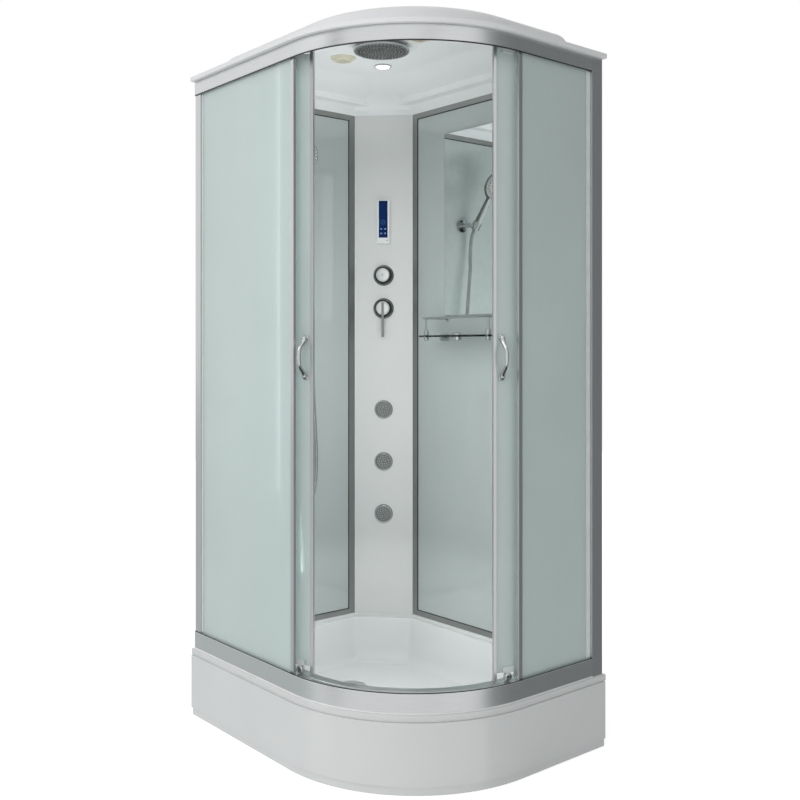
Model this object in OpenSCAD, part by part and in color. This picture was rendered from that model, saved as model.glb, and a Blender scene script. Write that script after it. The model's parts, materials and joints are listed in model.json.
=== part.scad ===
// Corner shower cabin with a massage column, a curved front with two sliding doors,
// a deep tray on a steel frame and a moulded roof. All lengths are in millimetres.
// The origin is on the floor under the middle of the tray, with the left-hand room wall
// at -X, the other room wall at +Y and the round front corner towards +X and -Y.

/* [Tray] */
// Width of the tray along the back wall
tray_w = 1000; // [940:10:1100]
// Depth of the tray along the left wall
tray_d = 800; // [760:10:900]
// Radius of the round front corner
corner_r = 450; // [430:5:500]
// Height of the tray's rim
rim_z = 207; // [190:1:230]
// Height of the basin's floor
basin_z = 60; // [58:1:75]
// Wall of the tray's shell
tray_t = 5; // [4:0.5:7]
// Height of the rim's outer lip
lip_h = 19; // [14:1:26]
// Rim width under the front rail
rim_front = 86; // [82:1:100]
// Rim width along the walls
rim_wall = 46; // [40:1:60]
// Rim width in front of the column
rim_column = 42; // [30:1:60]
// How far the basin's sides slope in
basin_slope = 32; // [20:1:45]
// Height of the ledge that the wall frames stand on
ledge_h = 10; // [6:1:14]
// How far the rim sits back from the skirt
lip_inset = 5; // [4:0.5:8]
// Radius of the drain hole
drain_r = 30; // [27:0.5:34]

/* [Skirt and frame] */
// Wall of the front skirt
skirt_t = 4; // [3:0.5:5]
// Height of the recessed toe strip
toe_h = 24; // [16:1:34]
// Recess of the toe strip
toe_inset = 5; // [4:0.5:8]
// Side of the square frame tube
tube_w = 25; // [20:1:25]
// Wall of the frame tube
tube_t = 2; // [1.5:0.5:3]
// Radius of a foot's pad
foot_r = 24; // [20:1:30]
// Radius of a foot's threaded rod
rod_r = 6; // [5:0.5:7]

/* [Rails and glass] */
// Distance of the rails' front from the tray's edge
rail_inset = 12; // [8:0.5:16]
// Depth of the rails
rail_d = 66; // [60:1:68]
// Wall of the rails and posts
rail_t = 2.5; // [2:0.1:3]
// Height of the bottom rail's front
rail_h = 52; // [44:1:60]
// Height of the top rail's front
top_rail_h = 41; // [36:1:50]
// How far the roller track lies back from a rail's edge
track_drop = 7; // [5:0.5:9]
// Underside of the roof
roof_z = 1981; // [1850:1:2100]
// Thickness of all glass
glass_t = 5; // [4:1:6]
// Inset of the fixed glass from the rails' front
fixed_inset = 8; // [7:0.5:9]
// Inset of the closed door glass from the rails' front
door_inset = 50; // [49:0.5:51]
// Width of the left wall post
post_w = 32; // [28:1:40]
// Width of the right wall post
right_post_w = 45; // [38:1:50]
// Depth of the wall posts
post_d = 40; // [36:1:44]
// Width of the glass edge stiles
stile_w = 14; // [12:1:18]

/* [Doors] */
// Angle that each door covers
door_span = 47; // [45:0.5:48]
// Least distance of the open left door's leading edge from the straight glass
left_open = 33; // [28:1:45]
// Least distance of the open right door's leading edge from the straight glass
right_open = 54; // [44:1:62]
// Least gap between an open door's back edge and the wall
open_gap = 40; // [30:1:50]
// Gap between the two doors when closed
door_meet = 1; // [0.6:0.1:2]
// Radius of the door rollers
roller_r = 12; // [10:0.5:12.5]
// Width of a roller's tread
roller_w = 6; // [5:0.5:7]
// Radius of the roller axles
axle_r = 3; // [2.5:0.1:3.5]
// Gap between the door glass and the roller track
glass_gap = 26; // [25:0.5:28]
// Height of the handles' middle as a share of the glass's height
handle_share = 0.50344; // [0.45:0.00001:0.58]
// Distance between a handle's fixings
handle_span = 109; // [90:1:130]
// How far a handle bows out
handle_bow = 34; // [26:1:36]
// Radius of the handle's bar
handle_r = 5; // [4:0.5:6]

/* [Walls] */
// Gap between the frames and the tray's edge
wall_gap = 8; // [6:0.5:10]
// Depth of the wall frames
frame_d = 20; // [18:1:22]
// Width of the frames' bars
frame_bar = 18; // [15:1:22]
// Width of the frames' stiles
frame_stile = 24; // [20:1:28]
// Depth of the roof's wall flange below the roof
flange_h = 18; // [14:1:24]
// Distance of the column's edges from the room corner
column_leg = 144; // [135:1:155]
// Wall of the column panel
column_t = 4; // [3:0.5:5]
// Width of the mirror
mirror_w = 350; // [300:5:380]
// Height of the mirror
mirror_h = 610; // [550:5:640]
// Distance of the mirror's upper edge from the roof
mirror_drop = 114; // [100:1:130]
// Place of the mirror's left edge
mirror_x = -160; // [-170:1:-140]
// Length of the glass shelf
shelf_w = 336; // [300:1:360]
// Depth of the glass shelf
shelf_d = 110; // [90:1:130]
// Distance of the shelf's top below the mirror
shelf_drop = 68; // [66:1:90]
// Height of the shelf's gallery rail
gallery_h = 58; // [45:1:64]

/* [Roof] */
// Thickness of the roof's lip
roof_lip = 15; // [12:1:20]
// Height of the dome over the roof's underside
dome_h = 75; // [65:1:90]
// Inset of the dome from the roof's edge
dome_inset = 68; // [60:1:80]
// Wall of the roof's shell
roof_t = 5; // [4:0.5:6]
// Radius of the overhead shower
rain_r = 84; // [75:1:100]
// Radius of the ceiling light
light_r = 28; // [24:1:34]
// Radius of the loudspeaker and of the fan
vent_r = 39; // [35:1:44]

/* [Column fittings] */
// Width of the control panel
panel_w = 45; // [42:1:50]
// Height of the control panel
panel_h = 153; // [145:1:165]
// Thickness of the control panel
panel_t = 14; // [13:0.5:16]
// Height of the control panel's middle as a share of the column's height
panel_share = 0.78608; // [0.77:0.00001:0.8]
// Height of the diverter as a share of the column's height
diverter_share = 0.67869; // [0.67:0.00001:0.69]
// Height of the mixer as a share of the column's height
mixer_share = 0.61226; // [0.6:0.00001:0.62]
// Radius of the two valves' cover plates
valve_r = 36; // [32:1:40]
// Length of the mixer's lever below its pivot
lever_l = 112; // [90:1:130]
// Height of the upper jet as a share of the column's height
jet_share = 0.40951; // [0.4:0.00001:0.42]
// Distance between the jets as a share of the column's height
jet_gap_share = 0.10452; // [0.09:0.00001:0.11]
// Width of a jet's ring round its cup
jet_ring_w = 3.4; // [2.8:0.1:4.5]
// Radius of a jet's ball
ball_r = 25.5; // [23:0.5:27]

/* [Hand shower] */
// Height of the holder's cup as a share of the wall's height
cup_share = 0.80126; // [0.78:0.00001:0.81]
// Distance of the cup from the left wall's inner face
cup_out = 47; // [42:1:60]
// Place of the cup along the left wall
cup_y = -40; // [-60:1:-30]
// Lean of the hand shower out from the wall
hand_lean = 25; // [15:1:30]
// Lean of the hand shower to the front
hand_turn = 10; // [0:1:15]
// Distance from the cup to the head's middle
hand_l = 169; // [150:1:190]
// Radius of the hand shower's head
head_r = 52; // [45:1:56]
// Radius of the hose
hose_r = 7; // [6.5:0.1:8]
// Height of the hose's wall outlet as a share of the wall's height
outlet_share = 0.42554; // [0.42:0.00001:0.43]

/* [Hidden] */

over = 1;
fit = 0.1;
seat = 0.3;
shaft_gap = 0.05;

left_x = -tray_w / 2;
right_x = tray_w / 2;
front_y = -tray_d / 2;
back_y = tray_d / 2;
arc_x = right_x - corner_r;
arc_y = front_y + corner_r;
wall_x = left_x + wall_gap + frame_d;
wall_y = back_y - wall_gap - frame_d;
rail_x = right_x - rail_inset;
rail_y = front_y + rail_inset;
rail_r = corner_r - rail_inset;
frame_z = rim_z + ledge_h;
flange_z = roof_z - flange_h;
track_z = rim_z + rail_h - track_drop;
top_track_z = roof_z - rail_t;
rail_lip = 8;
post_z = track_z;
post_top_z = top_track_z;

wall_h = flange_z - frame_z;
function up(share) = frame_z + share * wall_h;

column_x = wall_x + column_leg;
column_y = wall_y - column_leg;
column_mid = [wall_x + column_leg / 2, wall_y - column_leg / 2];
column_half = column_leg / sqrt(2);

tube_z = basin_z - tray_t - tube_w;
beam_y_share = 0.25;
beam_x_shares = [-0.38, 0.2];
front_beam_share = 0.86;
back_beam_share = 0.94;
cross_beam_share = 0.84;
pipe_gap = 90;
nut_share = 1.7;
foot_x_shares = [-0.38, -0.09, 0.2, 0.36];
foot_at = [for (s = [-1, 1]) for (share = foot_x_shares)
    [share * tray_w, s * beam_y_share * tray_d]];
foot_pad_h = 8;

drain_x = -222;
drain_y = 24;
flange_t = 2.5;
drain_flange_r = drain_r + 10;
trap_r = drain_r + 8;
trap_z = 6;
trap_t = 2.5;
neck_r = drain_r - 1;
trap_out_r = 20;
trap_out_l = 70;
trap_collar_r = 24;
trap_collar_l = 8;
cover_r = 46;
cover_h = 6;
cover_gap = 4;
cover_top_share = 0.8;

door_r = rail_r - door_inset;
lead_angle = -45;
meet_angle = door_meet / door_r * 90 / PI;
swing = 45 - door_span / 2;
door_z = track_z + glass_gap;
door_top_z = top_track_z - glass_gap;
handle_z = door_z + handle_share * (door_top_z - door_z);
seal_w = 12;
door_stile_w = 18;
door_stile_t = 11;
axle_share = [6.5, 41.5];
carriage_w = 34;
carriage_t = 13;
carriage_h = 14;
stile_gap = 2.5;
clamp_gap = 0.5;
roller_z = track_z + seat + roller_r;
top_roller_z = top_track_z - seat - roller_r;
cap_r = 10;
cap_t = 3;
handle_back = 24;
post_r = 6;
bow_out = 8;
end_r = 6.5;
inner_bow_share = 0.55;
fork_share = 1.2;
cap_edge_share = 0.8;

left_post_d = rail_d - rail_t - fit;
stile_t = 9;
panel_deep = 4;
slot_d = 8;

left_wall_l = column_y - (rail_y + rail_d + fit);
back_wall_l = rail_x - post_d - column_x;

mirror_t = 5;
mirror_gap = 2;
mirror_z = roof_z - mirror_drop - mirror_h;
clip_x_shares = [0.2, 0.8];
clip_z_shares = [0.15, 0.85];
clip_r = 8;
shelf_t = 6;
shelf_z = mirror_z - shelf_drop - shelf_t;
shelf_x = -173;
gallery_r = 4;
gallery_share = [0.07, 0.93];
gallery_in = 12;
cup_foot_r = 8.5;
cup_foot_h = 12;
cup_top_h = 18;

dome_shares = [[0, 0], [0.7, 2], [0.93, 4], [1, 8]];
ceiling_z = roof_z + dome_h - roof_t;
rain_x = 0;
rain_y = -32;
rain_t = 11;
rain_drop = 20;
rain_edge_share = 0.9;
rain_rings = 5;
rain_nozzle_r = 1.5;
rain_field_share = 0.86;
light_x = -167;
light_y = 108;
light_drop = 6;
lens_share = 0.8;
speaker_x = -176;
speaker_y = -44;
cone_share = 0.75;
fan_x = 167;
fan_y = -26;
vent_drop = 19;
blade_count = 7;
blade_turn = 35;
blade_t = 1.2;
fan_wall = 2;
fan_hub_r = 9;
fan_pin_r = 1.5;
fan_r_share = 0.85;
slot_share = 0.55;

window_w = 31;
window_h = 129;
window_drop = 4;
panel_z = up(panel_share);
window_z = panel_z + panel_h / 2 - window_h / 2 - window_drop;
display_t = 1.5;
window_d = 2;
key_deep = 4;
pad_z = panel_z - 2.5;
arrow_share = 0.62;
pad_r = 11;
key_x = 7;
key_w = 8.5;
key_h = 6;
key_drops = [26, 41.8];
key_cap = 2.9;
key_flange = 1;
key_lip = 0.9;

diverter_z = up(diverter_share);
mixer_z = up(mixer_share);
knob_r = 24;
knob_d = 24;
knob_side_share = 0.8;
cap_side_share = 0.85;
round_share = 0.85;
plate_t = 8;
stem_r = 5;
stem_l = 10;
cap_front = 26;
lever_w = 8;
lever_t = 10;
lever_up = 22;
lever_pin_r = 2;
lever_at = knob_r / 2;
lever_pin_share = 1.4;
lever_back_share = 0.2;
slot_deep = 15;
bore_r = 26;
body_r = 24;
body_d = 46;
body_y = 30;
pipe_r = 8;
inlet_r = 10.5;
inlet_l = 20;
inlet_nut_r = 14;
inlet_nut_l = 14;
inlet_bore = 6;
inlet_x = 62;
inlet_z = frame_z + 93;
riser_top = flange_z - 63;
jet_z = [for (row = [0 : 2]) up(jet_share - row * jet_gap_share)];
jet_cup_t = 2.1;
jet_hole_r = ball_r + seat + jet_cup_t + fit;
jet_r = jet_hole_r + jet_ring_w;
jet_ring_t = 8;
jet_cup_d = 30;
jet_face = 9;
jet_ring_share = 0.88;
jet_dot_share = 0.42;
jet_dot_r = 1.5;

cup_z = up(cup_share);
outlet_z = up(outlet_share);
cup_x = wall_x + cup_out;
bracket_y = cup_y + 30;
cup_r = 17;
cup_h = 30;
cone_low = 11.5;
cone_high = 13;
cone_gap = 0.3;
slot_w = 16;
hand_low = 22;
neck_l = 112;
head_t = 20;
head_tip = 12;
nut_r = 9;
outlet_y = -110;
outlet_r = 9;
outlet_out = 24;
arm_r = 9;
hand_rings = 4;
head_edge_share = 0.7;
head_side_share = 0.6;
head_face_share = 0.96;

ribs = 90;
sides = 8;
groove_r = hose_r - 0.9;
hose_bore = hose_r - 2.4;

// Outline of the tray, drawn in from its front by one inset and from its walls by another
module plan(front = 0, wall = 0) {
    translate([left_x + wall, front_y + front])
        square([arc_x - left_x - wall, tray_d - front - wall]);
    translate([left_x + wall, arc_y])
        square([tray_w - front - wall, back_y - arc_y - wall]);
    translate([arc_x, arc_y]) intersection() {
        circle(corner_r - front, $fn = 128);
        translate([-over, -corner_r]) square([corner_r + over, corner_r + over]);
    }
}

// The same outline with its back corner cut parallel to the column
module room(front, wall, ledge) {
    cut = wall_gap + frame_d + column_leg + ledge * sqrt(2);
    difference() {
        plan(front, wall);
        polygon([[left_x - over, back_y + over], [left_x - over, back_y - cut - over],
            [left_x + cut + over, back_y + over]]);
    }
}

// A strip that follows the front edge and is open towards the walls
module front_band(z, h, out, deep, wall) {
    translate([0, 0, z]) linear_extrude(h) difference() {
        plan(out, wall);
        plan(out + deep, wall - over);
    }
}

// Space of the basin, grown by a wall
module basin(grow) {
    hull() {
        translate([0, 0, rim_z - (grow > 0 ? tray_t : 0)]) linear_extrude(grow > 0 ? tray_t : over)
            room(rim_front - grow, rim_wall - grow, rim_column - grow);
        translate([0, 0, basin_z + basin_slope - grow]) linear_extrude(over)
            room(rim_front + basin_slope / 3 - grow, rim_wall + basin_slope / 3 - grow,
                rim_column + basin_slope / 3 - grow);
        translate([0, 0, basin_z - grow]) linear_extrude(over)
            room(rim_front + basin_slope - grow, rim_wall + basin_slope - grow,
                rim_column + basin_slope - grow);
    }
}

module tray() color("whitesmoke") difference() {
    union() {
        translate([0, 0, rim_z - lip_h]) linear_extrude(lip_h) plan(lip_inset, 0);
        translate([0, 0, rim_z]) linear_extrude(ledge_h) difference() {
            plan(rail_inset + rail_d + over, wall_gap);
            room(rail_inset + rail_d, wall_gap + frame_d, 0);
        }
        basin(tray_t);
    }
    translate([0, 0, rim_z - lip_h - over]) linear_extrude(lip_h - tray_t + over) difference() {
        plan(lip_inset + tray_t, tray_t);
        room(rim_front - tray_t, rim_wall - tray_t, rim_column - tray_t);
    }
    basin(0);
    translate([drain_x, drain_y, 0]) cylinder(rim_z, drain_r, drain_r, $fn = 64);
}

module tray_skirt() color("white") {
    front_band(toe_h, rim_z - lip_h - toe_h, 0, skirt_t, wall_gap);
    front_band(rim_z - lip_h - skirt_t, skirt_t, 0, lip_inset + tray_t + skirt_t, wall_gap);
    front_band(toe_h, skirt_t, 0, toe_inset + skirt_t, wall_gap);
    front_band(over, toe_h, toe_inset, skirt_t, wall_gap);
}

module beams(side, z, long) {
    low = (tube_w - side) / 2;
    for (s = [-1, 1])
        translate([left_x + wall_gap + skirt_t + low - long, s * beam_y_share * tray_d - side / 2,
            z + low])
            cube([tray_w * (s < 0 ? front_beam_share : back_beam_share) - 2 * low + 2 * long,
                side, side]);
    for (share = beam_x_shares)
        translate([share * tray_w - side / 2, -cross_beam_share / 2 * tray_d + low - long, z + low])
            cube([side, cross_beam_share * tray_d - 2 * low + 2 * long, side]);
}

module tray_frame() color("silver") difference() {
    beams(tube_w, tube_z, 0);
    beams(tube_w - 2 * tube_t, tube_z, tube_t + over);
    translate([drain_x - pipe_gap / 2, beam_y_share * tray_d - tube_w, tube_z - over])
        cube([pipe_gap, 2 * tube_w, tube_w + 2 * over]);
    for (at = foot_at)
        translate([at[0], at[1], tube_z - over])
            cylinder(tube_t + 2 * over, rod_r + fit, rod_r + fit, $fn = 32);
}

module levelling_feet() color("dimgray") for (at = foot_at) translate([at[0], at[1], 0]) {
    cylinder(foot_pad_h, foot_r, foot_r - over, $fn = 48);
    cylinder(tube_z + tube_w / 2, rod_r, rod_r, $fn = 32);
    translate([0, 0, tube_z - foot_pad_h])
        cylinder(foot_pad_h, rod_r * nut_share, rod_r * nut_share, $fn = 6);
}

module drain_trap() color("dimgray") translate([drain_x, drain_y, 0]) difference() {
    union() {
        translate([0, 0, basin_z]) cylinder(flange_t, drain_flange_r, drain_flange_r, $fn = 64);
        translate([0, 0, basin_z - tray_t - over])
            cylinder(tray_t + 2 * over, neck_r, neck_r, $fn = 64);
        translate([0, 0, trap_z]) cylinder(basin_z - tray_t - trap_z, trap_r, trap_r, $fn = 64);
        translate([0, 0, trap_z + trap_out_r]) rotate([-90, 0, 0]) {
            cylinder(trap_r + trap_collar_l, trap_collar_r, trap_collar_r, $fn = 48);
            cylinder(trap_r + trap_out_l, trap_out_r, trap_out_r, $fn = 48);
        }
    }
    translate([0, 0, trap_z + trap_t])
        cylinder(basin_z, neck_r - trap_t, neck_r - trap_t, $fn = 64);
    translate([0, 0, trap_z + trap_out_r]) rotate([-90, 0, 0])
        cylinder(trap_r + trap_out_l + over, trap_out_r - trap_t, trap_out_r - trap_t, $fn = 48);
}

module drain_cover() color("silver") {
    cover_z = basin_z + flange_t + seat;
    basket_r = neck_r - trap_t - fit;
    translate([drain_x, drain_y, cover_z]) {
        translate([0, 0, cover_gap]) cylinder(cover_h / 2, cover_r, cover_r, $fn = 64);
        translate([0, 0, cover_gap + cover_h / 2])
            cylinder(cover_h / 2, cover_r, cover_r * cover_top_share, $fn = 64);
        for (turn = [0 : 3]) rotate(turn * 90) translate([drain_flange_r - cover_gap, 0, 0])
            cylinder(cover_gap + over, cover_gap / 2, cover_gap / 2, $fn = 24);
        translate([0, 0, -cover_h]) difference() {
            cylinder(cover_h + cover_gap + over, basket_r - over, basket_r - over, $fn = 64);
            translate([0, 0, -over]) cylinder(cover_h + cover_gap + over, basket_r - 2 * over - fit,
                basket_r - 2 * over - fit, $fn = 64);
            for (turn = [0 : 5]) rotate(turn * 60) translate([0, -cover_gap, -over])
                cube([cover_r, 2 * cover_gap, cover_h + cover_gap]);
        }
    }
}

// Room that the right post takes at the rails' end
module right_post_space() {
    translate([rail_x - rail_d - over, wall_y + frame_d - right_post_w, rim_z - over])
        cube([tray_w, right_post_w + over, roof_z]);
}

// Hollow: front face, roller track, inner wall and base
module bottom_rail() color("silver") difference() {
    union() {
        front_band(rim_z, rail_h, rail_inset, rail_t, wall_gap);
        front_band(track_z - rail_t, rail_t, rail_inset, rail_d, wall_gap);
        front_band(rim_z, rail_t, rail_inset, rail_d, wall_gap);
        front_band(rim_z, track_z - rim_z, rail_inset + rail_d - rail_t, rail_t, wall_gap);
    }
    right_post_space();
}

// Open below: the upper rollers run under its plate, between its front and a short lip
module top_rail() color("silver") difference() {
    union() {
        front_band(roof_z - top_rail_h, top_rail_h, rail_inset, rail_t, wall_gap);
        front_band(top_track_z, rail_t, rail_inset, rail_d, wall_gap);
        front_band(top_track_z - rail_lip, rail_lip + rail_t, rail_inset + rail_d - rail_t, rail_t,
            wall_gap);
    }
    right_post_space();
    translate([left_x, rail_y + rail_t, top_track_z - rail_lip - over])
        cube([wall_gap + post_w + fit, rail_d, rail_lip + over]);
}

// Hollow box profile with a slot for glass in one face
module profile(w, d, h, slot_at) {
    difference() {
        cube([w, d, h]);
        translate([rail_t, rail_t, -over])
            cube([w - rail_t - slot_d, d - 2 * rail_t, h + 2 * over]);
        translate([w - slot_d + rail_t, slot_at - fit, -over])
            cube([slot_d, glass_t + 2 * fit, h + 2 * over]);
    }
}

module stile() {
    difference() {
        cube([stile_w, stile_t, post_top_z - post_z]);
        translate([-over, (stile_t - glass_t) / 2 - fit, -over])
            cube([stile_w - rail_t + over, glass_t + 2 * fit, post_top_z]);
    }
}

// Two wall posts, and the stiles on the free edges of the fixed glass
module glass_posts() color("silver") {
    side = (stile_t - glass_t) / 2;
    translate([left_x + wall_gap, rail_y + rail_t + fit, post_z])
        profile(post_w, left_post_d, post_top_z - post_z, fixed_inset - rail_t - fit);
    translate([rail_x, wall_y + frame_d, rim_z]) mirror([0, 1, 0]) rotate(90)
        profile(right_post_w, post_d, roof_z - rim_z, fixed_inset);
    translate([arc_x - stile_w, rail_y + fixed_inset - side, post_z]) stile();
    translate([rail_x - fixed_inset + side, arc_y + stile_w, post_z]) mirror([0, 1, 0]) rotate(90)
        stile();
}

module fixed_glass_left() color("lightcyan")
    translate([left_x + wall_gap + post_w - slot_d + rail_t + fit, rail_y + fixed_inset, post_z])
        cube([arc_x - left_x - wall_gap - post_w + slot_d - 2 * rail_t - fit, glass_t,
            post_top_z - post_z]);

module fixed_glass_right() color("lightcyan")
    translate([rail_x - fixed_inset - glass_t, arc_y + rail_t, post_z])
        cube([glass_t, back_y - wall_gap - right_post_w - arc_y + slot_d - 2 * rail_t - fit,
            post_top_z - post_z]);

// Wall frame in its own axes: length along X, inner face at Y = 0, outwards to +Y
module frame(len) {
    h = flange_z - frame_z;
    difference() {
        cube([len, frame_d, h]);
        translate([frame_stile, -over, frame_bar])
            cube([len - 2 * frame_stile, frame_d + 2 * over, h - 2 * frame_bar]);
        translate([frame_stile - slot_d, panel_deep - fit, frame_bar - slot_d])
            cube([len - 2 * (frame_stile - slot_d), glass_t + 2 * fit,
                h - 2 * (frame_bar - slot_d)]);
    }
}

module wall_panel(len) {
    h = flange_z - frame_z;
    edge = slot_d - fit;
    translate([frame_stile - edge, panel_deep, frame_bar - edge])
        cube([len - 2 * (frame_stile - edge), glass_t, h - 2 * (frame_bar - edge)]);
}

module on_left_wall() {
    translate([wall_x, column_y - left_wall_l, frame_z]) rotate(90) children();
}

module on_back_wall() {
    translate([column_x, wall_y, frame_z]) children();
}

module left_wall_frame() color("darkgray") on_left_wall() frame(left_wall_l);
module left_wall_panel() color("lightslategray") on_left_wall() wall_panel(left_wall_l);
module back_wall_frame() color("darkgray") on_back_wall() frame(back_wall_l);
module back_wall_panel() color("lightslategray") on_back_wall() wall_panel(back_wall_l);

// Places children on the column: X across it, Y into the corner, Z up
module on_column() {
    translate([column_mid[0], column_mid[1], 0]) rotate(45) children();
}

module column_hole(z, r) {
    on_column() translate([0, column_t + over, z]) rotate([90, 0, 0])
        cylinder(column_t + 2 * over, r, r, $fn = 64);
}

module column_panel() color("gainsboro") difference() {
    t = column_t;
    step = t * sqrt(2) - t;
    translate([0, 0, frame_z]) linear_extrude(wall_h)
        polygon([[wall_x - frame_d, column_y + fit], [wall_x, column_y + fit],
            [column_x - fit, wall_y], [column_x - fit, wall_y + frame_d],
            [column_x - fit - t, wall_y + frame_d], [column_x - fit - t, wall_y + step],
            [wall_x - step, column_y + fit + t], [wall_x - frame_d, column_y + fit + t]]);
    for (z = jet_z) column_hole(z, jet_hole_r);
    column_hole(diverter_z, bore_r);
    column_hole(mixer_z, bore_r);
}

module mirror_panel() {
    translate([mirror_x, wall_y + panel_deep - mirror_gap - mirror_t, mirror_z])
        cube([mirror_w, mirror_t, mirror_h]);
}

module mirror_plate() color("lightsteelblue") {
    mirror_panel();
    for (x = clip_x_shares, z = clip_z_shares)
        translate([mirror_x + x * mirror_w, wall_y + panel_deep, mirror_z + z * mirror_h])
            rotate([90, 0, 0]) cylinder(mirror_gap + fit, clip_r, clip_r, $fn = 32);
}

module glass_shelf() color("azure") difference() {
    translate([shelf_x, wall_y + panel_deep - shelf_d, shelf_z])
        cube([shelf_w, shelf_d, shelf_t]);
    for (share = gallery_share)
        translate([shelf_x + share * shelf_w, wall_y + panel_deep - shelf_d + gallery_in,
            shelf_z - over])
            cylinder(shelf_t + 2 * over, gallery_r + fit, gallery_r + fit, $fn = 32);
}

module shelf_rail() color("silver") {
    y = wall_y + panel_deep - shelf_d + gallery_in;
    for (share = gallery_share) translate([shelf_x + share * shelf_w, y, 0]) {
        translate([0, 0, shelf_z - cup_foot_h])
            cylinder(cup_foot_h, cup_foot_r, cup_foot_r, $fn = 32);
        translate([0, 0, shelf_z - over])
            cylinder(gallery_h + over, gallery_r, gallery_r, $fn = 32);
        translate([0, 0, shelf_z + shelf_t])
            cylinder(cup_top_h, cup_foot_r, cup_foot_r, $fn = 32);
        translate([0, 0, shelf_z + gallery_h]) rotate([-90, 0, 0])
            cylinder(shelf_d - gallery_in, gallery_r, gallery_r, $fn = 32);
        translate([0, 0, shelf_z + gallery_h]) sphere(gallery_r, $fn = 32);
        translate([0, shelf_d - gallery_in - cup_foot_h / 2, shelf_z + gallery_h])
            rotate([-90, 0, 0]) cylinder(cup_foot_h / 2, cup_foot_r, cup_foot_r, $fn = 32);
        translate([-cup_foot_r, shelf_d - gallery_in - 3 * cup_foot_r, shelf_z - cup_foot_h])
            cube([2 * cup_foot_r, 3 * cup_foot_r, cup_foot_h]);
    }
    translate([shelf_x + gallery_share[0] * shelf_w, y, shelf_z + gallery_h]) rotate([0, 90, 0])
        cylinder((gallery_share[1] - gallery_share[0]) * shelf_w, gallery_r, gallery_r, $fn = 32);
    translate([shelf_x + shelf_w / 2, y, shelf_z - cup_foot_h]) {
        cylinder(cup_foot_h, 2 * cup_foot_r, 2 * cup_foot_r, $fn = 48);
        translate([0, 0, cup_foot_h + shelf_t])
            cylinder(cup_foot_h / 2, 2 * cup_foot_r, cup_foot_r, $fn = 48);
    }
}

// Control panel on the column
module control_panel() color("whitesmoke") on_column() difference() {
    translate([-panel_w / 2, -panel_t, panel_z - panel_h / 2]) cube([panel_w, panel_t, panel_h]);
    translate([-window_w / 2, -panel_t - over, window_z - window_h / 2])
        cube([window_w, window_d + over, window_h]);
    key_pockets(key_lip, -panel_t + window_d - over, key_deep + over);
}

module key_pockets(grow, y, deep) {
    translate([0, y + deep, pad_z]) rotate([90, 0, 0])
        cylinder(deep, pad_r + grow + seat, pad_r + grow + seat, $fn = 64);
    for (x = [-key_x, key_x], drop = key_drops)
        translate([x - key_w / 2 - grow - seat, y, panel_z - drop - key_h / 2 - grow - seat])
            cube([key_w + 2 * (grow + seat), deep, key_h + 2 * (grow + seat)]);
}

module control_display() color("navy") on_column() difference() {
    translate([-window_w / 2 + fit, -panel_t + window_d - display_t, window_z - window_h / 2 + fit])
        cube([window_w - 2 * fit, display_t, window_h - 2 * fit]);
    key_pockets(0, -panel_t - over, window_d + 2 * over);
}

cap_y = -panel_t + window_d + seat;

module arrow_pad() color("lightsteelblue") on_column() translate([0, cap_y, pad_z]) {
    rotate([90, 0, 0]) cylinder(key_cap, pad_r, pad_r, $fn = 64);
    translate([0, key_flange, 0]) rotate([90, 0, 0])
        cylinder(key_flange, pad_r + key_lip, pad_r + key_lip, $fn = 64);
    for (turn = [0 : 3]) translate([0, -key_cap, 0]) rotate([90, turn * 90, 0])
        translate([pad_r * arrow_share, 0, 0]) cylinder(key_flange / 2, pad_r / 4, pad_r / 4, $fn = 3);
}

module key(x, drop) color("lightsteelblue") on_column() translate([x, cap_y, panel_z - drop]) {
    translate([-key_w / 2, -key_cap, -key_h / 2]) cube([key_w, key_cap, key_h]);
    translate([-key_w / 2 - key_lip, 0, -key_h / 2 - key_lip])
        cube([key_w + 2 * key_lip, key_flange, key_h + 2 * key_lip]);
}

// Form of the roof's dome, grown by a wall. A step has a share of its height and an inset.
module dome(grow) {
    ledge = grow > 0 ? -column_half / 2 : 0;
    side = dome_inset + roof_t - grow;
    low = roof_z + roof_lip - roof_t;
    top = roof_z + dome_h - roof_t + grow - over;
    hull() for (step = dome_shares) translate([0, 0, low + (top - low) * step[0]])
        linear_extrude(over) room(side + step[1] * roof_t, side + step[1] * roof_t, ledge);
}

module roof() color("white") difference() {
    union() {
        translate([0, 0, roof_z]) linear_extrude(roof_lip) plan();
        translate([0, 0, flange_z]) linear_extrude(flange_h + over) difference() {
            plan(rail_inset + rail_d + over, wall_gap);
            room(rail_inset + rail_d, wall_gap + frame_d, 0);
        }
        dome(roof_t);
    }
    translate([0, 0, flange_z - over]) linear_extrude(roof_z + roof_lip - roof_t - flange_z + over)
        room(rail_inset + rail_d, wall_gap + frame_d, 0);
    dome(0);
}

module at_ceiling(x, y) {
    translate([x, y, ceiling_z]) mirror([0, 0, 1]) children();
}

module overhead_shower() color("silver") at_ceiling(rain_x, rain_y) {
    cylinder(roof_t / 2, rain_r / 2, rain_r / 2, $fn = 64);
    cylinder(rain_drop - rain_t + over, rain_r / 5, rain_r / 5, $fn = 48);
    translate([0, 0, rain_drop - rain_t])
        cylinder(rain_t / 3, rain_r * rain_edge_share, rain_r, $fn = 96);
    translate([0, 0, rain_drop - rain_t * 2 / 3 - fit])
        cylinder(rain_t * 2 / 3 + fit, rain_r, rain_r, $fn = 96);
    for (ring = [1 : rain_rings], turn = [1 : 6 * ring]) rotate(turn * 60 / ring)
        translate([ring * rain_r * rain_field_share / rain_rings, 0, rain_drop - over])
            cylinder(2 * over, rain_nozzle_r, rain_nozzle_r / 2, $fn = 6);
}

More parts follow.
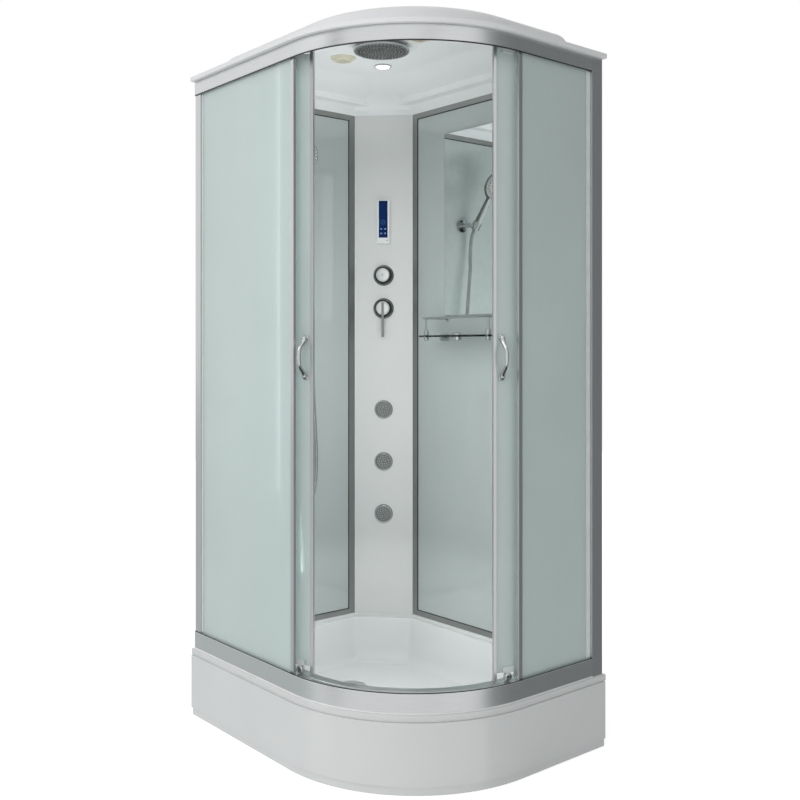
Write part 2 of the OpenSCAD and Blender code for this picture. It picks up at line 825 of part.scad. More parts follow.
module ceiling_light() color("ghostwhite") at_ceiling(light_x, light_y) {
    cylinder(light_drop / 2, light_r, light_r, $fn = 64);
    translate([0, 0, light_drop / 2])
        cylinder(light_drop / 2, light_r * lens_share, light_r * lens_share - over, $fn = 64);
}

module speaker() color("antiquewhite") at_ceiling(speaker_x, speaker_y) difference() {
    union() {
        cylinder(roof_t / 2, vent_r, vent_r, $fn = 64);
        cylinder(vent_drop, vent_r * cone_share, vent_r * cone_share - over, $fn = 64);
    }
    for (ring = [1 : 3], turn = [1 : 6 * ring])
        rotate(turn * 60 / ring) translate([ring * vent_r / 6, 0, vent_drop - 2 * over])
            cylinder(4 * over, over, over, $fn = 16);
}

module fan_housing() color("antiquewhite") at_ceiling(fan_x, fan_y) {
    difference() {
        union() {
            cylinder(roof_t / 2, vent_r, vent_r, $fn = 64);
            cylinder(vent_drop, vent_r * fan_r_share, vent_r * fan_r_share, $fn = 64);
        }
        translate([0, 0, -over])
            cylinder(vent_drop - fan_wall + over, vent_r * fan_r_share - fan_wall,
                vent_r * fan_r_share - fan_wall, $fn = 64);
        for (slot = [-2 : 2])
            translate([slot * vent_r / 4 - vent_r / 16, -vent_r * slot_share, vent_drop / 2])
                cube([vent_r / 8, 2 * vent_r * slot_share, vent_drop]);
    }
    translate([0, 0, fan_wall]) cylinder(vent_drop - fan_wall, fan_pin_r, fan_pin_r, $fn = 32);
}

module fan_rotor() color("dimgray") at_ceiling(fan_x, fan_y) translate([0, 0, 2 * fan_wall])
difference() {
    h = vent_drop - 4 * fan_wall;
    union() {
        cylinder(h, fan_hub_r, fan_hub_r, $fn = 48);
        for (blade = [0 : blade_count - 1]) rotate(blade * 360 / blade_count)
            translate([fan_hub_r - over, 0, h / 2]) rotate([blade_turn, 0, 0])
            translate([0, -blade_t / 2, -h / 2 + over])
                cube([vent_r * fan_r_share - fan_wall - fan_hub_r - over, blade_t, h - 2 * over]);
    }
    translate([0, 0, -over])
        cylinder(h + 2 * over, fan_pin_r + shaft_gap, fan_pin_r + shaft_gap, $fn = 32);
}

// Round piece on the column: its axis runs out of the face
module facing(z, y = 0) {
    on_column() translate([0, y, z]) rotate([90, 0, 0]) children();
}

module valve_bodies() color("silver") {
    for (z = [diverter_z, mixer_z]) {
        facing(z) {
            cylinder(plate_t / 2, valve_r, valve_r, $fn = 96);
            translate([0, 0, plate_t / 2])
                cylinder(plate_t / 2, valve_r, valve_r * round_share, $fn = 96);
            translate([0, 0, plate_t - over]) cylinder(stem_l + over, stem_r, stem_r, $fn = 48);
        }
        facing(z, body_d) cylinder(body_d, body_r, body_r, $fn = 64);
    }
}

module diverter_knob() color("silver") facing(diverter_z) translate([0, 0, plate_t + seat])
difference() {
    union() {
        cylinder(knob_d * knob_side_share, knob_r, knob_r, $fn = 96);
        translate([0, 0, knob_d * knob_side_share])
            cylinder(knob_d * (1 - knob_side_share), knob_r, knob_r * round_share, $fn = 96);
    }
    translate([0, 0, -over])
        cylinder(stem_l + over + shaft_gap, stem_r + shaft_gap, stem_r + shaft_gap, $fn = 48);
}

module mixer_cap() color("silver") facing(mixer_z) translate([0, 0, plate_t + seat])
difference() {
    union() {
        cylinder(cap_front * cap_side_share, knob_r, knob_r, $fn = 96);
        translate([0, 0, cap_front * cap_side_share])
            cylinder(cap_front * (1 - cap_side_share), knob_r, knob_r * round_share, $fn = 96);
    }
    translate([0, 0, -over])
        cylinder(stem_l + over + shaft_gap, stem_r + shaft_gap, stem_r + shaft_gap, $fn = 48);
    translate([-lever_w / 2 - seat, -knob_r - over, cap_front - slot_deep])
        cube([lever_w + 2 * seat, 2 * (knob_r + over), slot_deep + over]);
    translate([-knob_r, lever_at, cap_front - slot_deep / 2]) rotate([0, 90, 0])
        cylinder(2 * knob_r, lever_pin_r + shaft_gap, lever_pin_r + shaft_gap, $fn = 32);
}

module mixer_lever() color("silver") facing(mixer_z)
translate([0, lever_at, plate_t + seat + cap_front - slot_deep / 2]) {
    rotate([0, 90, 0]) translate([0, 0, -knob_r * lever_pin_share / 2])
        cylinder(lever_pin_share * knob_r, lever_pin_r, lever_pin_r, $fn = 32);
    translate([-lever_w / 2, -lever_l, -lever_t * lever_back_share])
        cube([lever_w, lever_l + lever_w, lever_t]);
}

module jet_bodies() color("silver") for (z = jet_z) {
    facing(z, jet_cup_d + column_t) difference() {
        union() {
            cylinder(jet_cup_d + column_t, jet_hole_r - fit, jet_hole_r - fit, $fn = 64);
            translate([0, 0, jet_cup_d + column_t]) {
                cylinder(jet_ring_t / 2, jet_r, jet_r, $fn = 64);
                translate([0, 0, jet_ring_t / 2])
                    cylinder(jet_ring_t / 2, jet_r, jet_r * jet_ring_share, $fn = 64);
            }
        }
        translate([0, 0, column_t]) cylinder(jet_cup_d + column_t + jet_ring_t,
            ball_r + seat, ball_r + seat, $fn = 64);
        translate([0, 0, -over]) cylinder(jet_cup_d, pipe_r, pipe_r, $fn = 32);
    }
    facing(z, jet_cup_d + column_t + pipe_r) difference() {
        cylinder(pipe_r, pipe_r * nut_share, pipe_r * nut_share, $fn = 32);
        translate([0, 0, -over]) cylinder(pipe_r + 2 * over, pipe_r, pipe_r, $fn = 32);
    }
}

module jet_nozzle(z) color("lightgray") facing(z) difference() {
    sphere(ball_r, $fn = 64);
    translate([-ball_r, -ball_r, jet_face]) cube([2 * ball_r, 2 * ball_r, ball_r]);
    translate([-ball_r, -ball_r, -ball_r - jet_face]) cube([2 * ball_r, 2 * ball_r, ball_r]);
    for (turn = [0 : 3]) rotate(45 + turn * 90) translate([ball_r * jet_dot_share, 0, 0])
        cylinder(ball_r, jet_dot_r, jet_dot_r, $fn = 24);
    cylinder(ball_r, jet_dot_r, jet_dot_r, $fn = 24);
}

// Pipes in the corner behind the column
module supply_pipes() color("peru") on_column() {
    y = body_y;
    translate([-inlet_x - pipe_r, y, mixer_z]) rotate([0, 90, 0])
        difference() {
            cylinder(2 * (inlet_x + pipe_r), pipe_r, pipe_r, $fn = 32);
            translate([0, 0, inlet_x + pipe_r - body_r])
                cylinder(2 * body_r, pipe_r + over, pipe_r + over, $fn = 32);
        }
    for (x = [-inlet_x, inlet_x]) {
        translate([x, y, inlet_z]) cylinder(mixer_z - inlet_z, pipe_r, pipe_r, $fn = 32);
        translate([x, y, inlet_z]) rotate([-90, 0, 0]) difference() {
            union() {
                sphere(pipe_r, $fn = 32);
                cylinder(inlet_nut_l, inlet_nut_r, inlet_nut_r, $fn = 6);
                cylinder(inlet_nut_l + inlet_l, inlet_r, inlet_r, $fn = 48);
            }
            translate([0, 0, inlet_nut_l])
                cylinder(inlet_l + over, inlet_bore, inlet_bore, $fn = 32);
        }
    }
    translate([0, y, mixer_z + body_r])
        cylinder(diverter_z - mixer_z - 2 * body_r, pipe_r, pipe_r, $fn = 32);
    translate([0, y, diverter_z + body_r])
        cylinder(riser_top - diverter_z - body_r, pipe_r, pipe_r, $fn = 32);
    jet_y = jet_cup_d + column_t + 2 * pipe_r;
    translate([0, jet_y, jet_z[2] - pipe_r]) difference() {
        cylinder(diverter_z - body_r - jet_z[2] + pipe_r, pipe_r, pipe_r, $fn = 32);
        translate([-body_r, -jet_y - over, mixer_z - jet_z[2] + pipe_r - body_r])
            cube([2 * body_r, body_d + 2 * over, 2 * body_r]);
    }
}

// Hand shower on the left wall
module holder_bracket() color("silver") {
    translate([wall_x - panel_deep, bracket_y, cup_z]) rotate([0, 90, 0]) {
        cylinder(plate_t, body_r, body_r, $fn = 64);
        cylinder(cup_out + panel_deep + stem_r, arm_r, arm_r, $fn = 48);
    }
    translate([cup_x, bracket_y, cup_z]) rotate([90, 0, 0])
        cylinder(bracket_y - cup_y - cup_r + over, stem_r, stem_r, $fn = 48);
}

module at_hand(z = 0) {
    translate([cup_x, cup_y, cup_z]) rotate([hand_turn, hand_lean, 0]) translate([0, 0, z]) children();
}

module holder_cup() color("dimgray") difference() {
    union() {
        at_hand(-cup_h / 2) cylinder(cup_h, cup_r, cup_r, $fn = 64);
        translate([cup_x, bracket_y - 2 * stem_r, cup_z]) rotate([90, 0, 0])
            cylinder(bracket_y - cup_y - 2 * stem_r, arm_r, arm_r, $fn = 48);
    }
    at_hand(-cup_h / 2) cylinder(cup_h, cone_low + cone_gap, cone_high + cone_gap, $fn = 64);
    at_hand(-cup_h) cylinder(2 * cup_h, cone_low + cone_gap, cone_low + cone_gap, $fn = 64);
    at_hand(-cup_h) translate([0, -slot_w / 2, 0]) cube([2 * cup_r, slot_w, 2 * cup_h]);
    translate([cup_x, bracket_y, cup_z]) rotate([90, 0, 0])
        cylinder(bracket_y - cup_y - cup_r + over + seat, stem_r + shaft_gap,
            stem_r + shaft_gap, $fn = 48);
}

module hand_shower() color("silver") at_hand() {
    translate([0, 0, -cup_h / 2]) cylinder(cup_h, cone_low, cone_high, $fn = 64);
    intersection() {
        translate([0, 0, -hand_low]) cylinder(hand_low, nut_r, nut_r, $fn = 48);
        sphere(hand_low, $fn = 64);
    }
    translate([0, 0, cup_h / 2]) cylinder(neck_l - cup_h / 2, cone_high, nut_r, $fn = 64);
    hull() {
        translate([0, 0, neck_l]) cylinder(over, nut_r, nut_r, $fn = 32);
        translate([-head_tip, 0, hand_l - head_r / 2]) rotate([0, 90, 0])
            cylinder(head_tip, head_r / 2, head_r / 2, $fn = 32);
    }
    translate([-head_tip, 0, hand_l]) rotate([0, 90, 0]) {
        cylinder(head_t * head_side_share, head_r * head_edge_share, head_r, $fn = 96);
        translate([0, 0, head_t * head_side_share])
            cylinder(head_t * (1 - head_side_share), head_r, head_r * head_face_share, $fn = 96);
        for (ring = [1 : hand_rings], turn = [1 : 6 * ring]) rotate(turn * 60 / ring)
            translate([ring * head_r / (hand_rings + 1), 0, head_t - over])
                cylinder(2 * over, over, over / 2, $fn = 6);
    }
}

module hose_outlet() color("silver") {
    translate([wall_x - panel_deep, outlet_y, outlet_z]) rotate([0, 90, 0]) {
        cylinder(plate_t, body_r, body_r, $fn = 64);
        cylinder(outlet_out + panel_deep, outlet_r, outlet_r, $fn = 48);
    }
    translate([wall_x + outlet_out, outlet_y, outlet_z]) sphere(outlet_r, $fn = 48);
    translate([wall_x + outlet_out, outlet_y, outlet_z - 2 * outlet_r])
        cylinder(2 * outlet_r, nut_r, outlet_r, $fn = 48);
}

// Route of the hose from the hand shower's nut to the wall outlet. Each row has a distance from
// the left wall, a place along it and a share of the wall's height.
hose_shares = [[28, -33, 0.7749], [26, -31, 0.752], [34, -20, 0.7062], [40, -4, 0.6432],
    [39, 8, 0.5745], [36, 19, 0.5057], [33, 28, 0.437], [32, 36, 0.374], [31, 40, 0.3167],
    [31, 34, 0.2709], [30, 14, 0.2365], [29, -16, 0.2194], [28, -48, 0.2228],
    [27, -76, 0.2451], [26, -96, 0.2824], [25, -107, 0.3282], [24, -110, 0.374],
    [24, -110, 0.3998]];
hose_route = [for (row = hose_shares) [wall_x + row[0], row[1], up(row[2])]];
hand_axis = [sin(hand_lean) * cos(hand_turn), -sin(hand_turn), cos(hand_lean) * cos(hand_turn)];
hose_top = [cup_x, cup_y, cup_z] - (hand_low + seat) * hand_axis;
hose_end = [wall_x + outlet_out, outlet_y, outlet_z - 2 * outlet_r - fit];
hose_points = concat([hose_top, hose_top - 2 * hose_r * hand_axis], hose_route,
    [hose_end - [0, 0, 2 * hose_r], hose_end]);

function spline(p, i, t) =
    let (n = len(p) - 1, a = p[max(i - 1, 0)], b = p[i], c = p[i + 1], d = p[min(i + 2, n)])
    0.5 * (2 * b + (c - a) * t + (2 * a - 5 * b + 4 * c - d) * t * t
        + (3 * b - 3 * c + d - a) * t * t * t);
function along(p, u) = let (i = min(floor(u), len(p) - 2)) spline(p, i, u - i);
function unit(v) = v / norm(v);
spline_steps = 12;
hose_line = [for (u = [0 : (len(hose_points) - 1) * spline_steps]) along(hose_points, u / spline_steps)];
hose_run = [for (i = 0, s = 0; i < len(hose_line);
    s = s + (i + 1 < len(hose_line) ? norm(hose_line[i + 1] - hose_line[i]) : 0), i = i + 1) s];
hose_l = hose_run[len(hose_run) - 1];
function find_step(s, i = 0) = i >= len(hose_run) - 2 || hose_run[i + 1] >= s ? i : find_step(s, i + 1);
function at_run(s) = let (i = find_step(s), gap = hose_run[i + 1] - hose_run[i])
    hose_line[i] + (hose_line[i + 1] - hose_line[i]) * min(1, (s - hose_run[i]) / gap);
echo(hose_length = hose_l);

// Rings of the hose as [place along it, radius]: a crest and a groove for each rib
hose_rings = [for (k = [0 : 2 * ribs]) [hose_l * k / (2 * ribs), k % 2 == 0 ? groove_r : hose_r]];
function ring_points(s, r) =
    let (e = hose_l / 400, d = unit(at_run(min(s + e, hose_l)) - at_run(max(s - e, 0))),
        u = unit(cross(d, [0, 1, 0.01])), v = cross(d, u))
    [for (k = [0 : sides - 1]) at_run(s) + r * (cos(k * 360 / sides) * u + sin(k * 360 / sides) * v)];

module shower_hose() color("silver") {
    n = len(hose_rings);
    outer = [for (ring = hose_rings) each ring_points(ring[0], ring[1])];
    inner = [for (k = [0 : ribs]) each ring_points(hose_l * k / ribs, hose_bore)];
    m = ribs + 1;
    base = n * sides;
    polyhedron(concat(outer, inner), concat(
        [for (k = [0 : n - 2]) for (j = [0 : sides - 1]) each let (a = k * sides + j,
            b = k * sides + (j + 1) % sides) [[a, b, a + sides], [b, b + sides, a + sides]]],
        [for (k = [0 : m - 2]) for (j = [0 : sides - 1]) each let (a = base + k * sides + j,
            b = base + k * sides + (j + 1) % sides) [[b, a, a + sides], [b, a + sides, b + sides]]],
        [for (j = [0 : sides - 1]) each let (a = j, b = (j + 1) % sides)
            [[b, a, base + a], [b, base + a, base + b]]],
        [for (j = [0 : sides - 1]) each let (a = (n - 1) * sides + j,
            b = (n - 1) * sides + (j + 1) % sides, c = base + (m - 1) * sides + j,
            d = base + (m - 1) * sides + (j + 1) % sides) [[a, b, c], [b, d, c]]]));
}

// Doors. Each is drawn closed, round the arc's centre, and then turned open about its pole.
function on_arc(r, turn) = [arc_x + r * cos(turn), arc_y + r * sin(turn)];
function turned(v, turn) = [v[0] * cos(turn) - v[1] * sin(turn), v[0] * sin(turn) + v[1] * cos(turn)];
// Point that a turn leaves in place, when it takes one point to another
function pole_of(from, to, turn) = let (mid = (from + to) / 2, d = to - from)
    mid + [-d[1], d[0]] / 2 / tan(turn / 2);

lead = on_arc(door_r, lead_angle);
door_chord = 2 * door_r * sin(door_span / 2);
open_x = max(arc_x + left_open, wall_x + open_gap + door_chord);
open_y = min(arc_y - right_open, wall_y - open_gap - door_chord);
left_pole = pole_of([open_x, arc_y - door_r], lead, swing);
right_pole = pole_of([arc_x + door_r, open_y], lead, -swing);

// Takes the closed left-hand form to either door at rest, which is open
module door(side) {
    if (side < 0) translate(left_pole) rotate(-swing) translate(-left_pole) children();
    else translate(right_pole) rotate(swing) translate(-right_pole)
        translate([arc_x, arc_y, 0]) rotate(-90) mirror([0, 1, 0])
        translate([-arc_x, -arc_y, 0]) children();
}

// Curved wall between two angles behind the leading edge
module arc_wall(inner, outer, start, end, h) {
    span = end - start;
    reach = 2 * corner_r;
    a = lead_angle - start;
    b = lead_angle - end;
    translate([arc_x, arc_y, 0]) linear_extrude(h) intersection() {
        difference() {
            circle(outer, $fn = 256);
            circle(inner, $fn = 256);
        }
        polygon([[0, 0], reach * [cos(a), sin(a)], reach * [cos((a + b) / 2), sin((a + b) / 2)],
            reach * [cos(b), sin(b)]]);
    }
}

function arc_deg(len) = len / door_r * 180 / PI;

module door_glass(side) color("lightcyan") door(side) translate([0, 0, door_z])
    arc_wall(door_r - glass_t, door_r, meet_angle + arc_deg(2 * rail_t), door_span - arc_deg(rail_t),
        door_top_z - door_z);

// Places children at an angle behind the leading edge: X out of the cabin, Y along the door
module on_door(turn, z) {
    translate([arc_x, arc_y, z]) rotate(lead_angle - turn) translate([door_r - glass_t / 2, 0, 0])
        children();
}

module door_frame(side) color("gainsboro") door(side) {
    side_t = (door_stile_t - glass_t) / 2;
    stile_z = track_z + stile_gap;
    stile_h = top_track_z - rail_lip - stile_gap - stile_z;
    translate([0, 0, stile_z]) difference() {
        arc_wall(door_r - glass_t - side_t, door_r + side_t, meet_angle,
            arc_deg(door_stile_w), stile_h);
        translate([0, 0, -over])
            arc_wall(door_r - glass_t - fit, door_r + fit, meet_angle + arc_deg(2 * rail_t - fit),
                arc_deg(door_stile_w) + 1, stile_h + 2 * over);
    }
    translate([0, 0, door_z]) difference() {
        arc_wall(door_r - glass_t - over, door_r + over, door_span - arc_deg(seal_w), door_span,
            door_top_z - door_z);
        translate([0, 0, -over])
            arc_wall(door_r - glass_t - fit, door_r + fit, door_span - arc_deg(seal_w) - 1,
                door_span - arc_deg(rail_t - fit), door_top_z - door_z + 2 * over);
    }
    for (turn = axle_share) {
        carriage(turn, roller_z, 0);
        carriage(turn, top_roller_z, 1);
    }
}

// Clamp on the glass's edge with a fork round the roller, its axle and the axle's round cap
module carriage(turn, z, up) {
    edge_z = up ? door_top_z : door_z;
    on_door(turn, z) mirror([0, 0, up]) {
        reach = abs(edge_z - z);
        difference() {
            union() {
                translate([-carriage_t / 2, -carriage_w / 2, reach])
                    cube([carriage_t, carriage_w, carriage_h]);
                translate([roller_w / 2 + seat, -roller_r * fork_share / 2, -axle_r * 2])
                    cube([carriage_t / 2 - roller_w / 2 - seat, roller_r * fork_share,
                        reach + axle_r * 2 + over]);
            }
            translate([-glass_t / 2 - clamp_gap, -carriage_w, reach])
                cube([glass_t + 2 * clamp_gap, 2 * carriage_w, carriage_h + over]);
        }
        translate([-roller_w / 2 - seat, 0, 0]) rotate([0, 90, 0])
            cylinder(roller_w + 2 * seat + over, axle_r, axle_r, $fn = 32);
        translate([carriage_t / 2 - fit, 0, 0]) rotate([0, 90, 0])
            cylinder(cap_t, cap_r, cap_r * cap_edge_share, $fn = 48);
    }
}

module door_roller(side, turn, z) color("dimgray") door(side) on_door(turn, z)
rotate([0, 90, 0]) difference() {
    translate([0, 0, -roller_w / 2]) cylinder(roller_w, roller_r, roller_r, $fn = 64);
    translate([0, 0, -roller_w]) cylinder(2 * roller_w, axle_r + shaft_gap, axle_r + shaft_gap, $fn = 32);
}

// Bow handle: two fixings and a bar that curves between them
module bow(reach) {
    half = handle_span / 2;
    bow_r = (half * half + reach * reach) / (2 * reach);
    sweep = asin(half / bow_r);
    translate([reach - bow_r, 0, 0]) rotate([90, 0, 0]) rotate(-sweep)
        rotate_extrude(angle = 2 * sweep, $fn = 96) translate([bow_r, 0]) circle(handle_r, $fn = 32);
    for (end = [-1, 1]) translate([0, 0, end * half]) sphere(end_r, $fn = 32);
}

module door_handle(side) color("silver") door(side)
on_door(arc_deg(handle_back), handle_z) {
    for (face = [1, -1]) mirror([face < 0 ? 1 : 0, 0, 0]) translate([glass_t / 2 + bow_out, 0, 0]) {
        bow(handle_bow * (face > 0 ? 1 : inner_bow_share));
        for (end = [-1, 1]) translate([-bow_out, 0, end * handle_span / 2])
            rotate([0, 90, 0]) cylinder(bow_out, post_r, post_r, $fn = 32);
    }
}

tray();
tray_skirt();
tray_frame();
levelling_feet();
drain_trap();
drain_cover();
bottom_rail();
top_rail();
glass_posts();
fixed_glass_left();
fixed_glass_right();
left_wall_frame();
left_wall_panel();
back_wall_frame();
back_wall_panel();
column_panel();
mirror_plate();  // mirror
glass_shelf();
shelf_rail();
control_panel();
control_display();
arrow_pad();
key(-key_x, key_drops[0]);  // key_1
key(key_x, key_drops[0]);  // key_2
key(-key_x, key_drops[1]);  // key_3
key(key_x, key_drops[1]);  // key_4
roof();
overhead_shower();
ceiling_light();
speaker();
fan_housing();
fan_rotor();
valve_bodies();
diverter_knob();
mixer_cap();
mixer_lever();
jet_bodies();
jet_nozzle(jet_z[0]);  // jet_nozzle_1
jet_nozzle(jet_z[1]);  // jet_nozzle_2
jet_nozzle(jet_z[2]);  // jet_nozzle_3
holder_bracket();
holder_cup();
hand_shower();
hose_outlet();
shower_hose();
supply_pipes();
door_glass(-1);  // left_door_glass
door_frame(-1);  // left_door_frame
door_handle(-1);  // left_door_handle
door_roller(-1, axle_share[0], roller_z);  // left_roller_1
door_roller(-1, axle_share[1], roller_z);  // left_roller_2
door_roller(-1, axle_share[0], top_roller_z);  // left_roller_3
door_roller(-1, axle_share[1], top_roller_z);  // left_roller_4
door_glass(1);  // right_door_glass
door_frame(1);  // right_door_frame
door_handle(1);  // right_door_handle
door_roller(1, axle_share[0], roller_z);  // right_roller_1
door_roller(1, axle_share[1], roller_z);  // right_roller_2
door_roller(1, axle_share[0], top_roller_z);  // right_roller_3
door_roller(1, axle_share[1], top_roller_z);  // right_roller_4
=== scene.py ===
"""Looks of the corner shower cabin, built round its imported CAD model. Lengths are in metres."""
import json
import math

import bpy
import bmesh
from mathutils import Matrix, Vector


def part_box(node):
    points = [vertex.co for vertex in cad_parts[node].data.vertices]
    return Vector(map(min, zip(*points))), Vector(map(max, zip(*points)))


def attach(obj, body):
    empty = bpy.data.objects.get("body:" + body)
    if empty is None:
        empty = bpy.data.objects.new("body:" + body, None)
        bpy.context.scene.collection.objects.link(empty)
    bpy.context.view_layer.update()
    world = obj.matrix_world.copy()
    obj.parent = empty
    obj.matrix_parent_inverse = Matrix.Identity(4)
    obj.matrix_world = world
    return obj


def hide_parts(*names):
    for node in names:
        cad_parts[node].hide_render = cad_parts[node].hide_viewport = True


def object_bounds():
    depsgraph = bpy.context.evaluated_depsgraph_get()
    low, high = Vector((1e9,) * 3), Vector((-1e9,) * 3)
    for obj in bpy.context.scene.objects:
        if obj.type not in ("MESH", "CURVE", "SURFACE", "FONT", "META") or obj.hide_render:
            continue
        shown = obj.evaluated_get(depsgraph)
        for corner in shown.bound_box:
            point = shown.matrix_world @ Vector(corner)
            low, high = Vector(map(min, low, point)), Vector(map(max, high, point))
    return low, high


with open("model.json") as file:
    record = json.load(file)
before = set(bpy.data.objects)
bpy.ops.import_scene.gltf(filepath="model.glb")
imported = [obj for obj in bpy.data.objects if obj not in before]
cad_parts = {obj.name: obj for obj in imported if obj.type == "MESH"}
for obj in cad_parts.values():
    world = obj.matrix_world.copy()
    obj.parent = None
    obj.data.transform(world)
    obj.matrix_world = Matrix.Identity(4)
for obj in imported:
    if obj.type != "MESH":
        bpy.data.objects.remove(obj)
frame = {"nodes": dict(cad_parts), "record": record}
cad_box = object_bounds()
nodes = frame["nodes"]
behaviour = frame["record"]["behaviour"]
scene = bpy.context.scene
MM = 0.001

# Camera
CAMERA_AT = (2.32483, -1.91132, 1.14612)
CAMERA_TURN = 50.0
CAMERA_LENS = 45.014
CAMERA_SENSOR = 36.0
CAMERA_SHIFT_Y = -0.0645


def add_object(name, data):
    thing = bpy.data.objects.new(name, data)
    scene.collection.objects.link(thing)
    return thing


def hide_from(thing, *rays):
    for kind in rays:
        setattr(thing, "visible_" + kind, False)


def make_camera():
    data = bpy.data.cameras.new("camera")
    data.lens = CAMERA_LENS
    data.sensor_width = CAMERA_SENSOR
    data.shift_y = CAMERA_SHIFT_Y
    camera = add_object("camera", data)
    camera.location = CAMERA_AT
    camera.rotation_euler = (math.radians(90), 0, math.radians(CAMERA_TURN))
    scene.camera = camera


# Materials
WHITE = (1, 1, 1)
# Where a noise texture starts and stops to change a colour
RAMP_FROM, RAMP_TO = 0.35, 0.65


def set_inputs(node, values):
    for key, value in values.items():
        node.inputs[key.replace("_", " ")].default_value = value


def add_node(tree, kind, **values):
    """A new shader node, with constants on its sockets."""
    node = tree.nodes.new("ShaderNode" + kind)
    set_inputs(node, values)
    return node


def add_ramp(tree, low, dark, high, light):
    """A colour ramp that goes from dark at low to light at high."""
    node = add_node(tree, "ValToRGB")
    for stop, position, color in zip(node.color_ramp.elements, (low, high), (dark, light)):
        stop.position = position
        stop.color = (*color, 1)
    return node


def shader_of(material):
    return next(n for n in material.node_tree.nodes if n.type == "BSDF_PRINCIPLED")


def through(tree, source, node, inlet, outlet):
    """Leads a source into a node and gives what comes out."""
    tree.links.new(source, node.inputs[inlet])
    return node.outputs[outlet]


def feed(material, source, node, inlet, outlet, socket):
    """Leads a source through a node to one of the shader's sockets."""
    tree = material.node_tree
    tree.links.new(through(tree, source, node, inlet, outlet), shader_of(material).inputs[socket])


def shade(color, share):
    return tuple(c * share for c in color)


def principled(name, color, rough, **sockets):
    """A Principled material with its constant values on the shader's own sockets."""
    material = bpy.data.materials.new(name)
    material.use_nodes = True
    set_inputs(shader_of(material), {"Base_Color": (*color, 1), "Roughness": rough, **sockets})
    return material


def noise(material, scale, detail=3.0, stretch=(1, 1, 1)):
    """A noise texture in object space, in which metres are the unit."""
    tree = material.node_tree
    place = add_node(tree, "TexCoord").outputs["Object"]
    place = through(tree, place, add_node(tree, "Mapping", Scale=stretch), "Vector", "Vector")
    texture = add_node(tree, "TexNoise", Scale=scale, Detail=detail)
    return through(tree, place, texture, "Vector", 0)


def vary_color(material, source, color, low, high=1.0):
    """Moves the colour between two shares of itself."""
    ramp = add_ramp(material.node_tree, RAMP_FROM, shade(color, low), RAMP_TO, shade(color, high))
    feed(material, source, ramp, "Fac", "Color", "Base Color")


def vary_rough(material, source, low, high):
    span = add_node(material.node_tree, "MapRange", To_Min=low, To_Max=high)
    feed(material, source, span, "Value", "Result", "Roughness")


def bump(material, source, strength, distance=0.0002):
    node = add_node(material.node_tree, "Bump", Strength=strength, Distance=distance)
    feed(material, source, node, "Height", "Normal", "Normal")


def acrylic(name, color, rough=0.16, coat=0.3):
    """Vacuum-formed gloss sheet: faint waves in its gloss and a very slight tone change."""
    material = principled(name, color, rough, Coat_Weight=coat, Coat_Roughness=0.06)
    vary_color(material, noise(material, scale=5.0, detail=2.0), color, low=0.975)
    vary_rough(material, noise(material, scale=14.0), rough * 0.8, rough * 1.35)
    bump(material, noise(material, scale=9.0, detail=1.0), strength=0.05, distance=0.002)
    return material


def brushed(name, color, rough, stretch=(1, 1, 0.01)):
    """Satin anodised profile with fine lines along its length."""
    material = principled(name, color, rough, Metallic=1.0)
    lines = noise(material, scale=900.0, detail=4.0, stretch=stretch)
    vary_color(material, lines, color, low=0.93)
    vary_rough(material, lines, rough * 0.85, rough * 1.15)
    bump(material, lines, strength=0.06)
    return material


def chrome(name, color, rough):
    """Polished metal with faint smears."""
    material = principled(name, color, rough, Metallic=1.0)
    smears = noise(material, scale=40.0, detail=5.0)
    vary_rough(material, smears, rough * 0.6, rough * 1.9)
    vary_color(material, smears, color, low=0.95)
    return material


def moulded(name, color, rough=0.4, grain=0.15):
    """Moulded plastic or rubber with a fine grain."""
    material = principled(name, color, rough)
    vary_color(material, noise(material, scale=30.0), color, low=0.93)
    bump(material, noise(material, scale=1400.0, detail=2.0), strength=grain)
    return material


def frosted_glass(name, color, weight):
    """Satin-etched tinted glass: part of the light passes, softened."""
    material = principled(name, color, 0.42, Transmission_Weight=weight, IOR=1.45,
                          Coat_Weight=0.15, Coat_Roughness=0.25)
    vary_color(material, noise(material, scale=2.2, detail=2.0), color, low=0.97)
    bump(material, noise(material, scale=1800.0, detail=2.0), strength=0.08)
    return material


def panel_glass(name, color):
    """Back-painted glass: a gloss face over an even grey-green paint."""
    material = principled(name, color, 0.07, Coat_Weight=0.6, Coat_Roughness=0.02,
                          Specular_IOR_Level=0.6)
    vary_color(material, noise(material, scale=1.6, detail=2.0), color, low=0.94)
    vary_rough(material, noise(material, scale=18.0), 0.05, 0.1)
    return material


def matt(name, color):
    """Printed film with little gloss, so that its dark blue keeps its depth."""
    material = principled(name, color, 0.6, Specular_IOR_Level=0.08)
    vary_color(material, noise(material, scale=60.0), color, low=0.9)
    return material


def glowing(name, color, strength):
    """Backlit film: a soft glow of its own over a darker colour that noise makes uneven."""
    material = principled(name, shade(color, 0.3), 0.2,
                          Emission_Color=(*color, 1), Emission_Strength=strength)
    vary_color(material, noise(material, scale=60.0), color, low=0.25, high=0.35)
    return material


def clear_glass(name, color):
    material = principled(name, color, 0.03, Transmission_Weight=1.0, IOR=1.5)
    vary_rough(material, noise(material, scale=25.0), 0.01, 0.06)
    return material


